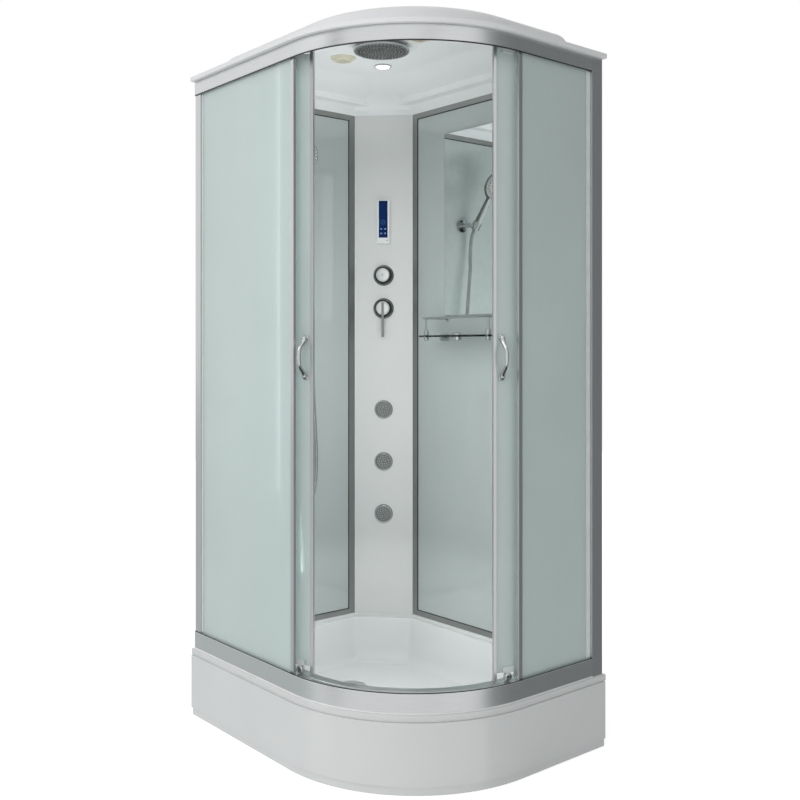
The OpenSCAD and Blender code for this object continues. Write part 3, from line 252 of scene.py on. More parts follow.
# Looks: slot of the pieces that have it first, maker, colour, the maker's other settings
LOOK_TABLE = {
    "acrylic": ("acrylic", acrylic, (0.71, 0.725, 0.725)),
    # The roof is the tray's acrylic made lighter, which paints the light that falls on it from
    # above.
    "roof": ("acrylic", acrylic, (0.83, 0.845, 0.85), 0.5, 0.04),
    "column": ("acrylic", acrylic, (0.64, 0.65, 0.645), 0.3),
    "rail": ("anodised", brushed, (0.66, 0.675, 0.68), 0.3, (0.02, 0.02, 1)),
    "profile": ("anodised", brushed, (0.62, 0.625, 0.63), 0.32),
    "wall_profile": ("anodised", brushed, (0.40, 0.405, 0.395), 0.4),
    "pipe": ("chrome", brushed, (0.42, 0.33, 0.18), 0.3),
    "chrome": ("chrome", chrome, (0.58, 0.59, 0.60), 0.07),
    # Darker and lighter copies of one chrome: painted dark reflection, painted shade and painted
    # highlight on the fittings.
    "dark_chrome": ("chrome", chrome, (0.07, 0.072, 0.07), 0.22),
    "shaded_chrome": ("chrome", chrome, (0.26, 0.265, 0.26), 0.1),
    "white_chrome": ("chrome", chrome, (0.96, 0.96, 0.96), 0.32),
    "mirror": ("mirror_glass", chrome, (0.92, 0.95, 0.945), 0.004),
    "steel": (None, moulded, (0.36, 0.37, 0.38), 0.5, 0.3),
    "roller": (None, moulded, (0.6, 0.6, 0.6)),
    "edge": (None, moulded, (0.22, 0.30, 0.28), 0.2),
    "rubber": ("dark_plastic", moulded, (0.02, 0.02, 0.022), 0.5, 0.3),
    "drain": ("drain_plastic", moulded, (0.5, 0.51, 0.51)),
    "cream": ("cream_plastic", moulded, (0.68, 0.64, 0.50)),
    "jet": ("grey_plastic", moulded, (0.16, 0.17, 0.17)),
    "nozzle": ("grey_plastic", moulded, (0.5, 0.52, 0.5)),
    "strip": ("grey_plastic", moulded, (0.76, 0.82, 0.80), 0.4, 0.02),
    # White sealant, which also paints the bright highlight line under the bottom rail.
    "sealant": ("grey_plastic", moulded, (0.9, 0.9, 0.9), 0.3, 0.03),
    "seal": ("grey_plastic", frosted_glass, (0.72, 0.74, 0.73), 0.3),
    "frosted": ("frosted_glass", frosted_glass, (0.72, 0.815, 0.80), 0.42),
    "panel": (None, panel_glass, (0.445, 0.495, 0.485)),
    "clear": ("clear_glass", clear_glass, (0.86, 0.95, 0.92)),
    "display": ("blue_display", matt, (0.003, 0.022, 0.105)),
    "screen": ("blue_display", matt, (0.003, 0.03, 0.13)),
    "digits": ("blue_display", glowing, (0.20, 0.36, 0.75), 0.8),
    "key": ("key_rubber", matt, (0.008, 0.045, 0.17)),
    "print": ("key_rubber", glowing, (0.45, 0.68, 1.0), 0.7),
    "lamp": ("lamp", glowing, (1.0, 1.0, 0.98), 1.1),
}
LOOKS = {name: make(name, *settings) for name, (_, make, *settings) in LOOK_TABLE.items()}
SIDE = {-1: "left", 1: "right"}
ROLLERS = range(1, 5)
KEYS = range(1, 5)
JETS = range(1, 4)
# Looks of the CAD nodes that no piece replaces
NODE_LOOKS = {
    "frosted": ["fixed_glass_left", "fixed_glass_right", "left_door_glass", "right_door_glass"],
    "panel": ["left_wall_panel", "back_wall_panel"],
    "pipe": ["supply_pipes"],
    "roller": [f"{side}_roller_{n}" for side in SIDE.values() for n in ROLLERS],
    "steel": ["tray_frame"],
}


def dress_nodes():
    for look, names in NODE_LOOKS.items():
        for name in names:
            held = nodes[name].data.materials
            held.clear()
            held.append(LOOKS[look])
            nodes[name].visible_shadow = look != "frosted"


# Light, floor and background
FLOOR_SIZE = 14.0
FLOOR_DROP = 0.0005
FLOOR_GREY = (0.9, 0.9, 0.9)
# Glow of the floor on the object, and as the camera sees it
FLOOR_GLOW = (0.25, 0.62)
# Strength of the background on matt surfaces, and in the camera, reflections and glass
SKY_GLOW = (0.5, 1.0)
# Dark ground in reflections that look down, and where it ends between straight down and up
GROUND_TONE = (0.07, 0.075, 0.075)
GROUND_FROM, GROUND_TO = 0.13, 0.3
SUN_TURN = (48, 0, -32)
SUN_POWER = 0.5
SUN_SPREAD = 35
CARD_GREY = (0.02, 0.02, 0.02)
CARD_TINT = (0.94, 1, 1, 1)
# Grey cards in the reflections: place, turn, width, height, glow. The first shades all surfaces.
CARDS = (((2.9, 2.6, 1.6), -48, 4.6, 6.8, 0.19), ((-0.6, -4.6, 1.4), 188, 0.7, 5.0, 0.15),
         ((4.6, -2.4, 1.4), 118, 0.5, 5.0, 0.15), ((-3.5, -3.1, -0.9), 130, 3.4, 3.4, 0.6))
# Soft lights that no reflection shows: place, aim, width, height, power
FILLS = {
    "front_fill": ((1.5, -3.0, 2.6), (0, 0, 1.6), 2.4, 2.0, 23),
    "inside_fill": ((0.14, -0.12, 1.08), (-0.43, 0.2, 1.04), 0.5, 1.1, 2.75),
    "left_fill": ((-0.02, -0.2, 1.35), (-0.47, -0.2, 1.35), 0.4, 1.2, 0.8),
    "basin_fill": ((0.0, -0.05, 0.5), (0.0, -0.05, 0.0), 0.7, 0.55, 1.35),
    "ceiling_fill": ((0.0, -0.05, 1.86), (0.0, -0.05, 2.0), 0.8, 0.6, 0.58),
}


def larger(tree, a, b):
    node = add_node(tree, "Math")
    node.operation = "MAXIMUM"
    tree.links.new(a, node.inputs[0])
    tree.links.new(b, node.inputs[1])
    return node.outputs[0]


def make_world():
    world = bpy.data.worlds.new("studio")
    scene.world = world
    world.use_nodes = True
    tree = world.node_tree
    link = tree.links.new
    back = tree.nodes["Background"]
    rays = add_node(tree, "LightPath").outputs
    direct = larger(tree, larger(tree, rays["Is Camera Ray"], rays["Is Glossy Ray"]),
                    rays["Is Transmission Ray"])
    strength = add_node(tree, "MapRange", To_Min=SKY_GLOW[0], To_Max=SKY_GLOW[1])
    link(through(tree, direct, strength, "Value", "Result"), back.inputs["Strength"])
    way = add_node(tree, "TexCoord").outputs["Generated"]
    height = through(tree, way, add_node(tree, "SeparateXYZ"), 0, "Z")
    height = through(tree, height, add_node(tree, "MapRange", From_Min=-1.0), "Value", "Result")
    ground = add_ramp(tree, GROUND_FROM, GROUND_TONE, GROUND_TO, WHITE)
    mix = add_node(tree, "MixRGB", Color1=(*WHITE, 1))
    link(through(tree, height, ground, "Fac", "Color"), mix.inputs["Color2"])
    link(through(tree, rays["Is Glossy Ray"], mix, "Fac", "Color"), back.inputs["Color"])


def make_sun():
    data = bpy.data.lights.new("key", "SUN")
    data.energy = SUN_POWER
    data.angle = math.radians(SUN_SPREAD)
    sun = add_object("key", data)
    sun.rotation_euler = [math.radians(a) for a in SUN_TURN]


def make_fill(name, place, aim, width, height, power):
    data = bpy.data.lights.new(name, "AREA")
    data.shape = "RECTANGLE"
    data.size = width
    data.size_y = height
    data.energy = power
    lamp = add_object(name, data)
    lamp.location = place
    lamp.rotation_euler = (Vector(aim) - Vector(place)).to_track_quat("-Z", "Y").to_euler()
    hide_from(lamp, "camera", "glossy", "transmission")


def add_sheet(name, size_x, size_y, material):
    """A flat rectangle round its own origin."""
    mesh = bpy.data.meshes.new(name)
    x, y = size_x / 2, size_y / 2
    mesh.from_pydata([(-x, -y, 0), (x, -y, 0), (x, y, 0), (-x, y, 0)], [], [(0, 1, 2, 3)])
    mesh.materials.append(material)
    return add_object(name, mesh)


def make_floor():
    material = principled("floor_white", FLOOR_GREY, 0.9, Emission_Color=(*WHITE, 1))
    rays = add_node(material.node_tree, "LightPath").outputs
    glow = add_node(material.node_tree, "MapRange", To_Min=FLOOR_GLOW[0], To_Max=FLOOR_GLOW[1])
    feed(material, rays["Is Camera Ray"], glow, "Value", "Result", "Emission Strength")
    floor = add_sheet("floor", FLOOR_SIZE, FLOOR_SIZE, material)
    floor.location = (0, 0, -FLOOR_DROP)
    hide_from(floor, "glossy")


def make_cards():
    for n, (place, turn, width, height, glow) in enumerate(CARDS):
        material = principled(f"card_grey_{n}", CARD_GREY, 0.9, Emission_Strength=glow,
                              Emission_Color=CARD_TINT)
        card = add_sheet(f"grey_card_{n}", width, height, material)
        card.location = place
        card.rotation_euler = (math.radians(90), 0, math.radians(turn))
        hide_from(card, "camera", "transmission", "shadow")
        card.visible_diffuse = n == 0


# Shape tools. Places on the cabin are in millimetres, as in its CAD source.
(LEFT, FRONT, _), (RIGHT, BACK, _) = ([c / MM for c in corner] for corner in cad_box)
CORNER_R = 450.0
ARC = Vector((50.0, 50.0))
WALL_X, WALL_Y = -472.0, 372.0
COLUMN = Vector((-400.0, 300.0))
ARC_STEPS, CORNER_STEPS = 72, 6
BODY_OF = {node: body for body, held in behaviour["bodies"].items() for node in held}
JOINT_AT = {joint["name"]: Vector(joint["pos_m"]) / MM for joint in behaviour["joints"]
            if "pos_m" in joint}


def corners(name):
    """Lowest and highest corner of a CAD node."""
    return [Vector(corner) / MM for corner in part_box(name)]


def centre(name):
    low, high = corners(name)
    return (low + high) / 2


CEILING_Z = corners("ceiling_light")[1].z


def finish_mesh(bm, name, *looks, smooth_to=38, body="cabin", slot=None, stands_for=None):
    """Turns a bmesh into a piece that is smooth up to an angle and rides on its body."""
    bmesh.ops.recalc_face_normals(bm, faces=bm.faces)
    bm.normal_update()
    for face in bm.faces:
        face.smooth = True
    limit = math.radians(smooth_to)
    for edge in bm.edges:
        edge.smooth = len(edge.link_faces) == 2 and edge.calc_face_angle(0) < limit
    mesh = bpy.data.meshes.new(name)
    bm.to_mesh(mesh)
    bm.free()
    for look in looks:
        mesh.materials.append(LOOKS[look])
    piece = add_object(name, mesh)
    if stands_for:
        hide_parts(stands_for)
        body = BODY_OF[stands_for]
    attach(piece, body)
    even = piece.modifiers.new("even_normals", "WEIGHTED_NORMAL")
    even.keep_sharp = True
    return piece


def around(count, twist=0.0):
    """Angles at equal steps round a circle."""
    return [2 * math.pi * k / count + twist for k in range(count)]


def polar(r, angle):
    return r * math.cos(angle), r * math.sin(angle)


def turned_by(p, degrees):
    """A plan vector turned anticlockwise."""
    c, s = polar(1, math.radians(degrees))
    return Vector((p.x * c - p.y * s, p.x * s + p.y * c))


def ring(bm, points):
    return [bm.verts.new(Vector(p) * MM) for p in points]


def bridge(bm, a, b):
    """Faces between two closed rings of equally many vertices."""
    for k in range(len(a)):
        n = (k + 1) % len(a)
        bm.faces.new((a[k], a[n], b[n], b[k]))


def loft(bm, loops, cap=True):
    """A skin over loops of equally many points."""
    rings = [ring(bm, points) for points in loops]
    for a, b in zip(rings, rings[1:]):
        bridge(bm, a, b)
    if cap:
        bm.faces.new(rings[0])
        bm.faces.new(rings[-1])
    return rings


def fillet(corners, samples):
    """A closed outline from corners (x, y, radius), each rounded by its number of points."""
    out = []
    for i, (x, y, r) in enumerate(corners):
        p = Vector((x, y))
        a = (Vector(corners[i - 1][:2]) - p).normalized()
        b = (Vector(corners[(i + 1) % len(corners)][:2]) - p).normalized()
        half = math.acos(a.dot(b)) / 2
        middle = p + (a + b).normalized() * r / math.sin(half)
        start = p + a * r / math.tan(half) - middle
        end = p + b * r / math.tan(half) - middle
        first = math.atan2(start.y, start.x)
        turn = (math.atan2(end.y, end.x) - first + math.pi) % (2 * math.pi) - math.pi
        for k in range(samples[i] + 1):
            out.append(middle + Vector(polar(r, first + turn * k / samples[i])))
    return out


def outline(front, wall, cut=0.0, r=1.0):
    """The tray's outline drawn in from its front and walls, with its back corner cut off.

    The cut is never shorter than its two small corner radii need.
    """
    least_edge = 4
    cut = max(cut, 2 * wall + least_edge + 2 * r)
    r = min(r, (cut - 2 * wall) / 3)
    corners = [(LEFT + wall, FRONT + front, r), (RIGHT - front, FRONT + front, CORNER_R - front),
               (RIGHT - front, BACK - wall, r), (LEFT + cut - wall, BACK - wall, r),
               (LEFT + wall, BACK + wall - cut, r)]
    return fillet(corners, (CORNER_STEPS, ARC_STEPS, CORNER_STEPS, CORNER_STEPS, CORNER_STEPS))


def level(points, z):
    return [(p[0], p[1], z) for p in points]


def prism(bm, points, low, high, chamfer=0.5):
    """An upright plate over an outline, with a small chamfer round its top and bottom."""
    base = [Vector(p[:2]) for p in points]
    count = len(base)
    area = sum(base[i - 1].x * base[i].y - base[i].x * base[i - 1].y for i in range(count))
    sharpest = 0.3
    inner = []
    for i, p in enumerate(base):
        a, b = (p - base[i - 1]).normalized(), (base[(i + 1) % count] - p).normalized()
        side = Vector((-(a + b).y, (a + b).x)).normalized() * (1 if area > 0 else -1)
        bend = max(sharpest, math.sqrt(max(0.0, (1 + a.dot(b)) / 2)))
        inner.append(p + side * chamfer / bend)
    loft(bm, [level(inner, low), level(base, low + chamfer), level(base, high - chamfer),
              level(inner, high)])


def as_is(a, b, h):
    return a, b, h


def under(name):
    """Maps (across, back, down) to the cabin, from the ceiling over a node's centre."""
    x, y = centre(name).xy
    return lambda a, b, h: (x + a, y + b, CEILING_Z - h)


def on_column(z, x=0.0):
    """Maps (across, up, out of the face) to the cabin, at a height on the column."""
    c = math.sqrt(0.5)
    return lambda a, b, h: (COLUMN.x + (x + a) * c + h * c, COLUMN.y + (x + a) * c - h * c, z + b)


def shifted(place, x, y):
    """The same mapping from a place further along its face."""
    return lambda a, b, h: place(x + a, y + b, h)


def lathe(bm, profile, place, sides=64, cap=True):
    """A turned form from (radius, height), which place maps to the cabin."""
    loft(bm, [[place(*polar(r, a), h) for a in around(sides)] for r, h in profile], cap)


def make_turned(name, look, place, profile, sides=64, cap=True, **how):
    """A whole piece from one profile."""
    bm = bmesh.new()
    lathe(bm, profile, place, sides, cap)
    finish_mesh(bm, name, look, **how)


def studs(bm, place, spots, profile, sides):
    """One small turned form at many spots of a face."""
    for x, y in spots:
        lathe(bm, profile, shifted(place, x, y), sides)


def make_studs(name, look, place, spots, profile, sides, **how):
    bm = bmesh.new()
    studs(bm, place, spots, profile, sides)
    finish_mesh(bm, name, look, **how)


def ring_spots(rings, gap, twist=0.0):
    """Spots in rings of 6, 12, 18 and so on, each ring turned a little further."""
    return [polar(n * gap, a) for n in range(1, rings + 1) for a in around(6 * n, twist * n)]


def box_of(bm, low, high, place, edge=0.5):
    """A small block between two local corners, with all its edges chamfered."""
    (x0, y0, z0), (x1, y1, z1) = low, high
    e = edge
    loops = []
    for h, g in ((z0, e), (z0 + e, 0), (z1 - e, 0), (z1, e)):
        loops.append([place(*p, h) for p in (
            (x0 + e + g, y0 + g), (x1 - e - g, y0 + g), (x1 - g, y0 + e + g),
            (x1 - g, y1 - e - g), (x1 - e - g, y1 - g), (x0 + e + g, y1 - g),
            (x0 + g, y1 - e - g), (x0 + g, y0 + e + g))])
    loft(bm, loops)


def make_boxes(name, look, boxes, place, edge, **how):
    """One piece of small blocks, each given as (low, high)."""
    bm = bmesh.new()
    for low, high in boxes:
        box_of(bm, low, high, place, edge)
    finish_mesh(bm, name, look, **how)


# Softening: the angles, in degrees, that count as flat and as a sharp edge
FLAT_TO, SHARP_FROM = 0.6, 30
WELD = 0.00001


def soften(name, *looks, width=0.5, pick=None, slot=None, segments=2, keep=None):
    """A copy of a CAD node with rounded edges. pick chooses each face's look by its place and
    normal, and keep says which faces stay."""
    bm = bmesh.new()
    bm.from_mesh(nodes[name].data)
    if keep:
        left_out = [f for f in bm.faces if not keep(f.calc_center_median() / MM)]
        bmesh.ops.delete(bm, geom=left_out, context="FACES")
    bmesh.ops.remove_doubles(bm, verts=bm.verts, dist=WELD)
    bmesh.ops.dissolve_limit(bm, angle_limit=math.radians(FLAT_TO), verts=bm.verts,
                             edges=bm.edges)
    bm.normal_update()
    limit = math.radians(SHARP_FROM)
    sharp = [e for e in bm.edges if len(e.link_faces) == 2 and e.calc_face_angle(0) > limit]
    bmesh.ops.bevel(bm, geom=sharp, offset=width * MM, offset_type="OFFSET", affect="EDGES",
                    segments=segments, profile=0.5, clamp_overlap=True)
    if pick:
        for face in bm.faces:
            face.material_index = pick(face.calc_center_median() / MM, face.normal)
    finish_mesh(bm, name + "_piece", *looks, slot=slot, stands_for=name,
                smooth_to=SHARP_FROM + 5)


# Hose of the hand shower
HOSE_ROUTE = [(-434.28, -36.13, 1596.1), (-439.3, -34.2, 1584.6), (-443.2, -32.8, 1569),
              (-445.4, -31.4, 1550), (-445.8, -29, 1520), (-443.5, -25, 1485), (-438, -20, 1445),
              (-432, -4, 1340), (-433, 8, 1220), (-436, 19, 1100), (-439, 28, 980),
              (-440, 36, 870), (-441, 40.5, 775), (-441, 38.5, 715), (-441.4, 31.6, 668),
              (-442, 17, 629), (-443, -4, 607.8), (-444, -32, 600.5), (-444.6, -60, 607.8),
              (-445.4, -80.5, 629), (-446, -92.5, 665), (-446.6, -101.5, 715),
              (-447.2, -107.5, 790), (-448, -110, 870), (-448, -110, 915), (-448, -110, 941.9)]
HOSE_R = 7 * MM
HOSE_PITCH = 3.2 * MM
HOSE_SIDES = 20
HOSE_STEPS = 24
# Radius round one turn of the hose's metal spiral
HOSE_RIB_SHARES = [1.0, 0.985, 0.87, 0.985]


def spline_points(points, steps):
    """Points along a smooth curve through the route."""
    line = []
    last = len(points) - 1
    for i in range(last):
        a, b = points[max(i - 1, 0)], points[i]
        c, d = points[i + 1], points[min(i + 2, last)]
        for k in range(steps):
            t = k / steps
            line.append(0.5 * (2 * b + (c - a) * t + (2 * a - 5 * b + 4 * c - d) * t * t
                               + (3 * b - 3 * c + d - a) * t * t * t))
    return line + [points[-1]]


def run_of(line):
    """The length of the way to each point of a line."""
    run = [0.0]
    for a, b in zip(line, line[1:]):
        run.append(run[-1] + (b - a).length)
    return run


def evenly(line, count):
    """The same curve with count + 1 points at equal steps."""
    run = run_of(line)
    out, i = [], 0
    for k in range(count + 1):
        s = run[-1] * k / count
        while i < len(line) - 2 and run[i + 1] < s:
            i += 1
        out.append(line[i].lerp(line[i + 1], min(1, (s - run[i]) / (run[i + 1] - run[i]))))
    return out


def tube(bm, centres, radii, sides):
    """A round tube along centres in metres, with one radius for each."""
    side = Vector((0, 1, 0.01))
    rings = []
    for i, at in enumerate(centres):
        ahead = centres[min(i + 1, len(centres) - 1)] - centres[max(i - 1, 0)]
        ahead.normalize()
        u = ahead.cross(side).normalized()
        v = ahead.cross(u)
        side = v.copy() if v.dot(side) > 0 else -v
        rings.append([bm.verts.new(at + radii[i] * (math.cos(a) * u + math.sin(a) * v))
                      for a in around(sides)])
    for a, b in zip(rings, rings[1:]):
        bridge(bm, a, b)
    bm.faces.new(rings[0][::-1])
    bm.faces.new(rings[-1])


def make_hose():
    route = [Vector(p) * MM for p in HOSE_ROUTE]
    line = spline_points(route, HOSE_STEPS)
    length = run_of(line)[-1]
    steps = len(HOSE_RIB_SHARES)
    centres = evenly(line, steps * round(length / HOSE_PITCH))
    radii = [HOSE_R * HOSE_RIB_SHARES[k % steps] for k in range(len(centres))]
    bm = bmesh.new()
    tube(bm, centres, radii, HOSE_SIDES)
    hose = finish_mesh(bm, "hose", "chrome", stands_for="shower_hose", smooth_to=80)


# Tray and roof. Loops are rows of (inset from the front, from the walls, height), and the
# corner behind the column is cut off.
LEDGE_NEAR, LEDGE_FAR, LEDGE_FRONT = 8, 28, 78
TRAY_LEDGE, ROOF_LEDGE = (206.5, 217, 0.8), (1963.2, 1984, 0.05)
CORNER_CUT = 172
DRAIN = centre("drain_cover").xy
DRAIN_LOOPS = [(44, 60), (31, 60), (30, 59), (30, 56)]
# The basin's floor falls towards the drain: (share of the way, height)
FLOOR_SHARES = ((0.35, 60.7), (0.7, 60.2))
TRAY_OUTER = [(5.6, 0.7, 188), (5, 0.2, 188.6), (5, 0.2, 203.5), (5.7, 0.9, 205.8),
              (7.4, 2.4, 206.8), (9.5, 4, 207)]
TRAY_LIP = [(10, 5.4, 201), (9.6, 5.2, 188)]
# Rows of (inset from the front, height). The basin is nearer to the walls and to the cut.
BASIN_TO_WALL, BASIN_TO_CUT = 40, 44
BASIN_CORNER_R = 22
TRAY_BASIN = [(81, 207), (84.6, 206), (86.4, 203), (87.6, 190), (90, 165), (92.6, 135),
              (95.4, 108), (98.4, 92), (103, 78), (110, 68), (119, 62.4), (131, 61)]
TRAY_UNDER = [(113.5, 56), (92, 90), (83, 150), (82, 201)]


def round_drain(points, r):
    """The points of an outline drawn in to a circle round the drain."""
    return [DRAIN + (Vector(p[:2]) - DRAIN).normalized() * r for p in points]


def basin_loops(rows):
    return [level(outline(f, f - BASIN_TO_WALL, CORNER_CUT + (f - BASIN_TO_CUT) * 1.414,
                          BASIN_CORNER_R), z) for f, z in rows]


def wall_strip():
    """Outline of the ledge along both walls, with the corner behind the column filled."""
    start, end = FRONT + LEDGE_FRONT, RIGHT - LEDGE_FRONT
    left, back = LEFT + LEDGE_NEAR, BACK - LEDGE_NEAR
    return [(left, start), (LEFT + LEDGE_FAR, start), (LEFT + LEDGE_FAR, BACK - CORNER_CUT),
            (LEFT + CORNER_CUT, BACK - LEDGE_FAR), (end, BACK - LEDGE_FAR), (end, back),
            (left, back)]


def make_tray():
    bm = bmesh.new()
    basin = basin_loops(TRAY_BASIN)
    last = basin[-1]
    drawn_in = round_drain(last, DRAIN_LOOPS[0][0])
    floor = [[(p[0] + (q.x - p[0]) * share, p[1] + (q.y - p[1]) * share, z)
              for p, q in zip(last, drawn_in)] for share, z in FLOOR_SHARES]
    floor += [level(round_drain(last, r), z) for r, z in DRAIN_LOOPS]
    outer, lip = ([level(outline(f, w), z) for f, w, z in rows]
                  for rows in (TRAY_OUTER, TRAY_LIP))
    rings = loft(bm, outer + basin + floor + basin_loops(TRAY_UNDER) + lip, cap=False)
    bridge(bm, rings[-1], rings[0])
    prism(bm, wall_strip(), *TRAY_LEDGE)
    finish_mesh(bm, "tray_shell", "acrylic", stands_for="tray", smooth_to=50)


ROOF_CUT = 200
ROOF_CORNER_R, DOME_CORNER_R, LIP_CORNER_R = 16, 34, 1.5
ROOF_INNER = (78, 28, 1981.2)
# Rows of (inset, height)
ROOF_LIP = [(1.6, 1981.2), (0.4, 1982.4), (0.2, 1984), (0.2, 1993), (0.7, 1994.8), (2.2, 1995.8),
            (5, 1996)]
ROOF_DOME = [(63, 1996), (66, 1996.6), (68.2, 1998.6), (69.6, 2004), (71.6, 2014), (74.2, 2025),
             (77.6, 2035), (82.4, 2043), (89, 2049.2), (98, 2053.4), (112, 2055.4), (134, 2055.9)]
# Rows of (inset from the front, from the walls, height)
CEILING = [(77.9, 28.02, 1983), (78.2, 28.6, 1987), (79, 30.6, 1991.5), (80.6, 34.4, 1996),
           (83.6, 40.6, 2000.6), (88, 49, 2005), (94, 58, 2009.2), (114, 73.1, 2014.8),
           (130, 93.1, 2021.4), (146, 113.1, 2027.7), (158, 128.1, 2032.3), (172, 146, 2037.6),
           (186, 164, 2042.6), (198, 180, 2046.6), (210, 196, 2049.6), (220, 208, 2051)]


def cove_loop(f, w, z):
    """A loop of the ceiling, whose cut corner and radius grow as it draws in."""
    in_by = w - ROOF_INNER[1]
    return level(outline(f, w, ROOF_CUT + 0.9 * in_by, ROOF_CORNER_R + in_by / 10), z)


def make_roof():
    bm = bmesh.new()
    ceiling = [cove_loop(*row) for row in reversed(CEILING)]
    lip, dome = ([level(outline(i, i, 0, r), z) for i, z in rows]
                 for rows, r in ((ROOF_LIP, LIP_CORNER_R), (ROOF_DOME, DOME_CORNER_R)))
    loft(bm, ceiling + [cove_loop(*ROOF_INNER)] + lip + dome)
    prism(bm, wall_strip(), *ROOF_LEDGE)
    # The roof's lighter acrylic paints the light that falls on it from above.
    finish_mesh(bm, "roof_shell", "roof", stands_for="roof", smooth_to=50)


# Rails: profiles of (inset, height) along the front edge
RAIL_LEFT, RAIL_BACK = corners("top_rail")[0].x, corners("top_rail")[1].y
RAIL_STEPS = 84
BOTTOM_RAIL = [(12.8, 207.1), (12.1, 208), (12, 210), (12, 256.6), (12.4, 258.2), (13.3, 258.9),
               (14.3, 258.2), (14.6, 256), (14.6, 253.2), (15.6, 252.1), (44, 251.9),
               (44.4, 251.2), (47.6, 251.2), (48, 251.9), (77, 252), (77.9, 251),
               (78, 208), (77.2, 207.1)]
TOP_RAIL = [(13.3, 1940.1), (12.4, 1940.8), (12, 1942.4), (12, 1979.6), (12.8, 1980.9),
            (77.2, 1980.9), (78, 1980), (78, 1971.2), (77.6, 1970.6), (75.9, 1970.6),
            (75.5, 1971.2), (75.5, 1978), (75, 1978.5), (15.2, 1978.5), (14.5, 1978),
            (14.5, 1942.4), (14.3, 1940.8)]
TOP_GASKET = [(12.9, 1940.9), (12.9, 1937.4), (14.2, 1937.4), (14.2, 1940.9)]
LOW_GASKET = [(13, 258.6), (13, 261), (14.2, 261), (14.2, 258.6)]
# The sealant bead under the bottom rail, widened and white so that it also paints a highlight line
# along the tray's rim.
BOTTOM_SEAL_AND_HIGHLIGHT = [(9.4, 206.6), (9.7, 208), (10.6, 209.2), (12.3, 209.8), (12.3, 206.6)]


def front_path(inset):
    """The front edge in plan: left side, corner arc, right side."""
    r = CORNER_R - inset
    quarter = [math.radians(-90 + 90 * k / RAIL_STEPS) for k in range(RAIL_STEPS + 1)]
    arc = [ARC + Vector(polar(r, a)) for a in quarter]
    return [(RAIL_LEFT, FRONT + inset)] + arc + [(RIGHT - inset, RAIL_BACK)]


def run_profile(bm, profile):
    """A solid that follows the front edge, with flat ends."""
    rings = [ring(bm, level(front_path(i), z)) for i, z in profile]
    for a, b in zip(rings, rings[1:] + rings[:1]):
        for k in range(len(a) - 1):
            bm.faces.new((a[k], a[k + 1], b[k + 1], b[k]))
    bm.faces.new([r[0] for r in rings])
    bm.faces.new([r[-1] for r in rings])


def make_rails():
    for name, look, profiles, stands_for in (
            ("bottom_rail_bar", "rail", [BOTTOM_RAIL], "bottom_rail"),
            ("top_rail_bar", "rail", [TOP_RAIL], "top_rail"),
            ("rail_gaskets", "rubber", [TOP_GASKET, LOW_GASKET], None),
            ("bottom_rail_seal", "sealant", [BOTTOM_SEAL_AND_HIGHLIGHT], None)):
        bm = bmesh.new()
        for profile in profiles:
            run_profile(bm, profile)
        finish_mesh(bm, name, look, stands_for=stands_for)


# Doors. Places on them are (radius, arc length behind the leading edge, height). Each one
# slides round its pole.
DOOR_R = 388.0
GLASS_T = 5.0
DOOR_SPAN = 47.0
SWING = 45 - DOOR_SPAN / 2
POLE = {side: JOINT_AT[f"{name}_door_slide"].xy for side, name in SIDE.items()}
DOOR_LOW, DOOR_HIGH = (corner.z for corner in corners("left_door_glass"))
# Arc lengths between which the CAD frame is kept, and the radius where its chrome caps start
CARRIAGES = (22, 303)
CAP_R = 392.2
STILE_LOW, STILE_HIGH = 254.5, 1968.0
STILE = [(381, 0.9), (390, 0.9), (390.6, 1.6), (390.6, 9.6), (389.8, 10.4), (388.2, 10.4),
         (388.1, 5.4), (382.9, 5.4), (382.8, 10.4), (381.2, 10.4), (380.4, 9.6), (380.4, 1.6)]
# Bent bars: outer and inner radius, start, length, steps, low, high
TRAIL_SEAL = (388.9, 382.1, 306.6, 11.5, 23, DOOR_LOW, DOOR_HIGH)
WIPERS = (387.6, 383.4, 64, 196, 24, 260, DOOR_LOW + 3)
HANDLE_Z = 1121.0
HANDLE_S = 24.0
HANDLE_SIDES = 24
HANDLE_STEPS = 6
# Half of the outer bow: (distance from the glass, height), and its radii
BOW = [(7.6, 59.5), (8, 54), (9.6, 47), (14.2, 40.4), (20.6, 34.4), (27.2, 28), (31.8, 20),
       (33.8, 10), (34.2, 0)]
BOW_R = [3.2, 6.2, 6.5, 5.9, 5.3, 5.0, 5.0, 5.3, 5.5]
BOW_TIP, BOW_TIP_R = 1.6, 1.2
INNER_BOW_SHARE = 0.56
HANDLE_FOOT_Z = 54.5
HANDLE_FOOT = [(7.4, 0.1), (7.8, 0.6), (7.6, 1.6), (5.2, 2.4), (5, 8)]


def on_door(side, r, s, z):
    """A place on a door at rest, which is open, from its radius and arc length."""
    a = math.radians(-45 - math.degrees(s / DOOR_R))
    if side > 0:
        a = -a - math.pi / 2
    p = turned_by(ARC + Vector(polar(r, a)) - POLE[side], SWING * side)
    return POLE[side].x + p.x, POLE[side].y + p.y, z


def door_place(side, point):
    """The (radius, arc length) of a point on a door at rest."""
    p = POLE[side] + turned_by(Vector(point[:2]) - POLE[side], -SWING * side) - ARC
    a = math.degrees(math.atan2(p.y, p.x))
    if side > 0:
        a = -a - 90
    return p.length, math.radians(-45 - a) * DOOR_R


def door_bar(side, name, look, section, low, high, chamfer=0.3):
    """An upright bar that rides on a door, from a section of (radius, arc length)."""
    bm = bmesh.new()
    prism(bm, [on_door(side, r, s, 0) for r, s in section], low, high, chamfer)
    finish_mesh(bm, f"{SIDE[side]}_{name}", look, body=f"{SIDE[side]}_door")


def bent_bar(side, name, look, outer, inner, start, length, steps, low, high):
    """A bar that is bent as the door's glass is."""
    arc = [start + length * k / steps for k in range(steps + 1)]
    section = [(outer, s) for s in arc] + [(inner, s) for s in reversed(arc)]
    door_bar(side, name, look, section, low, high)


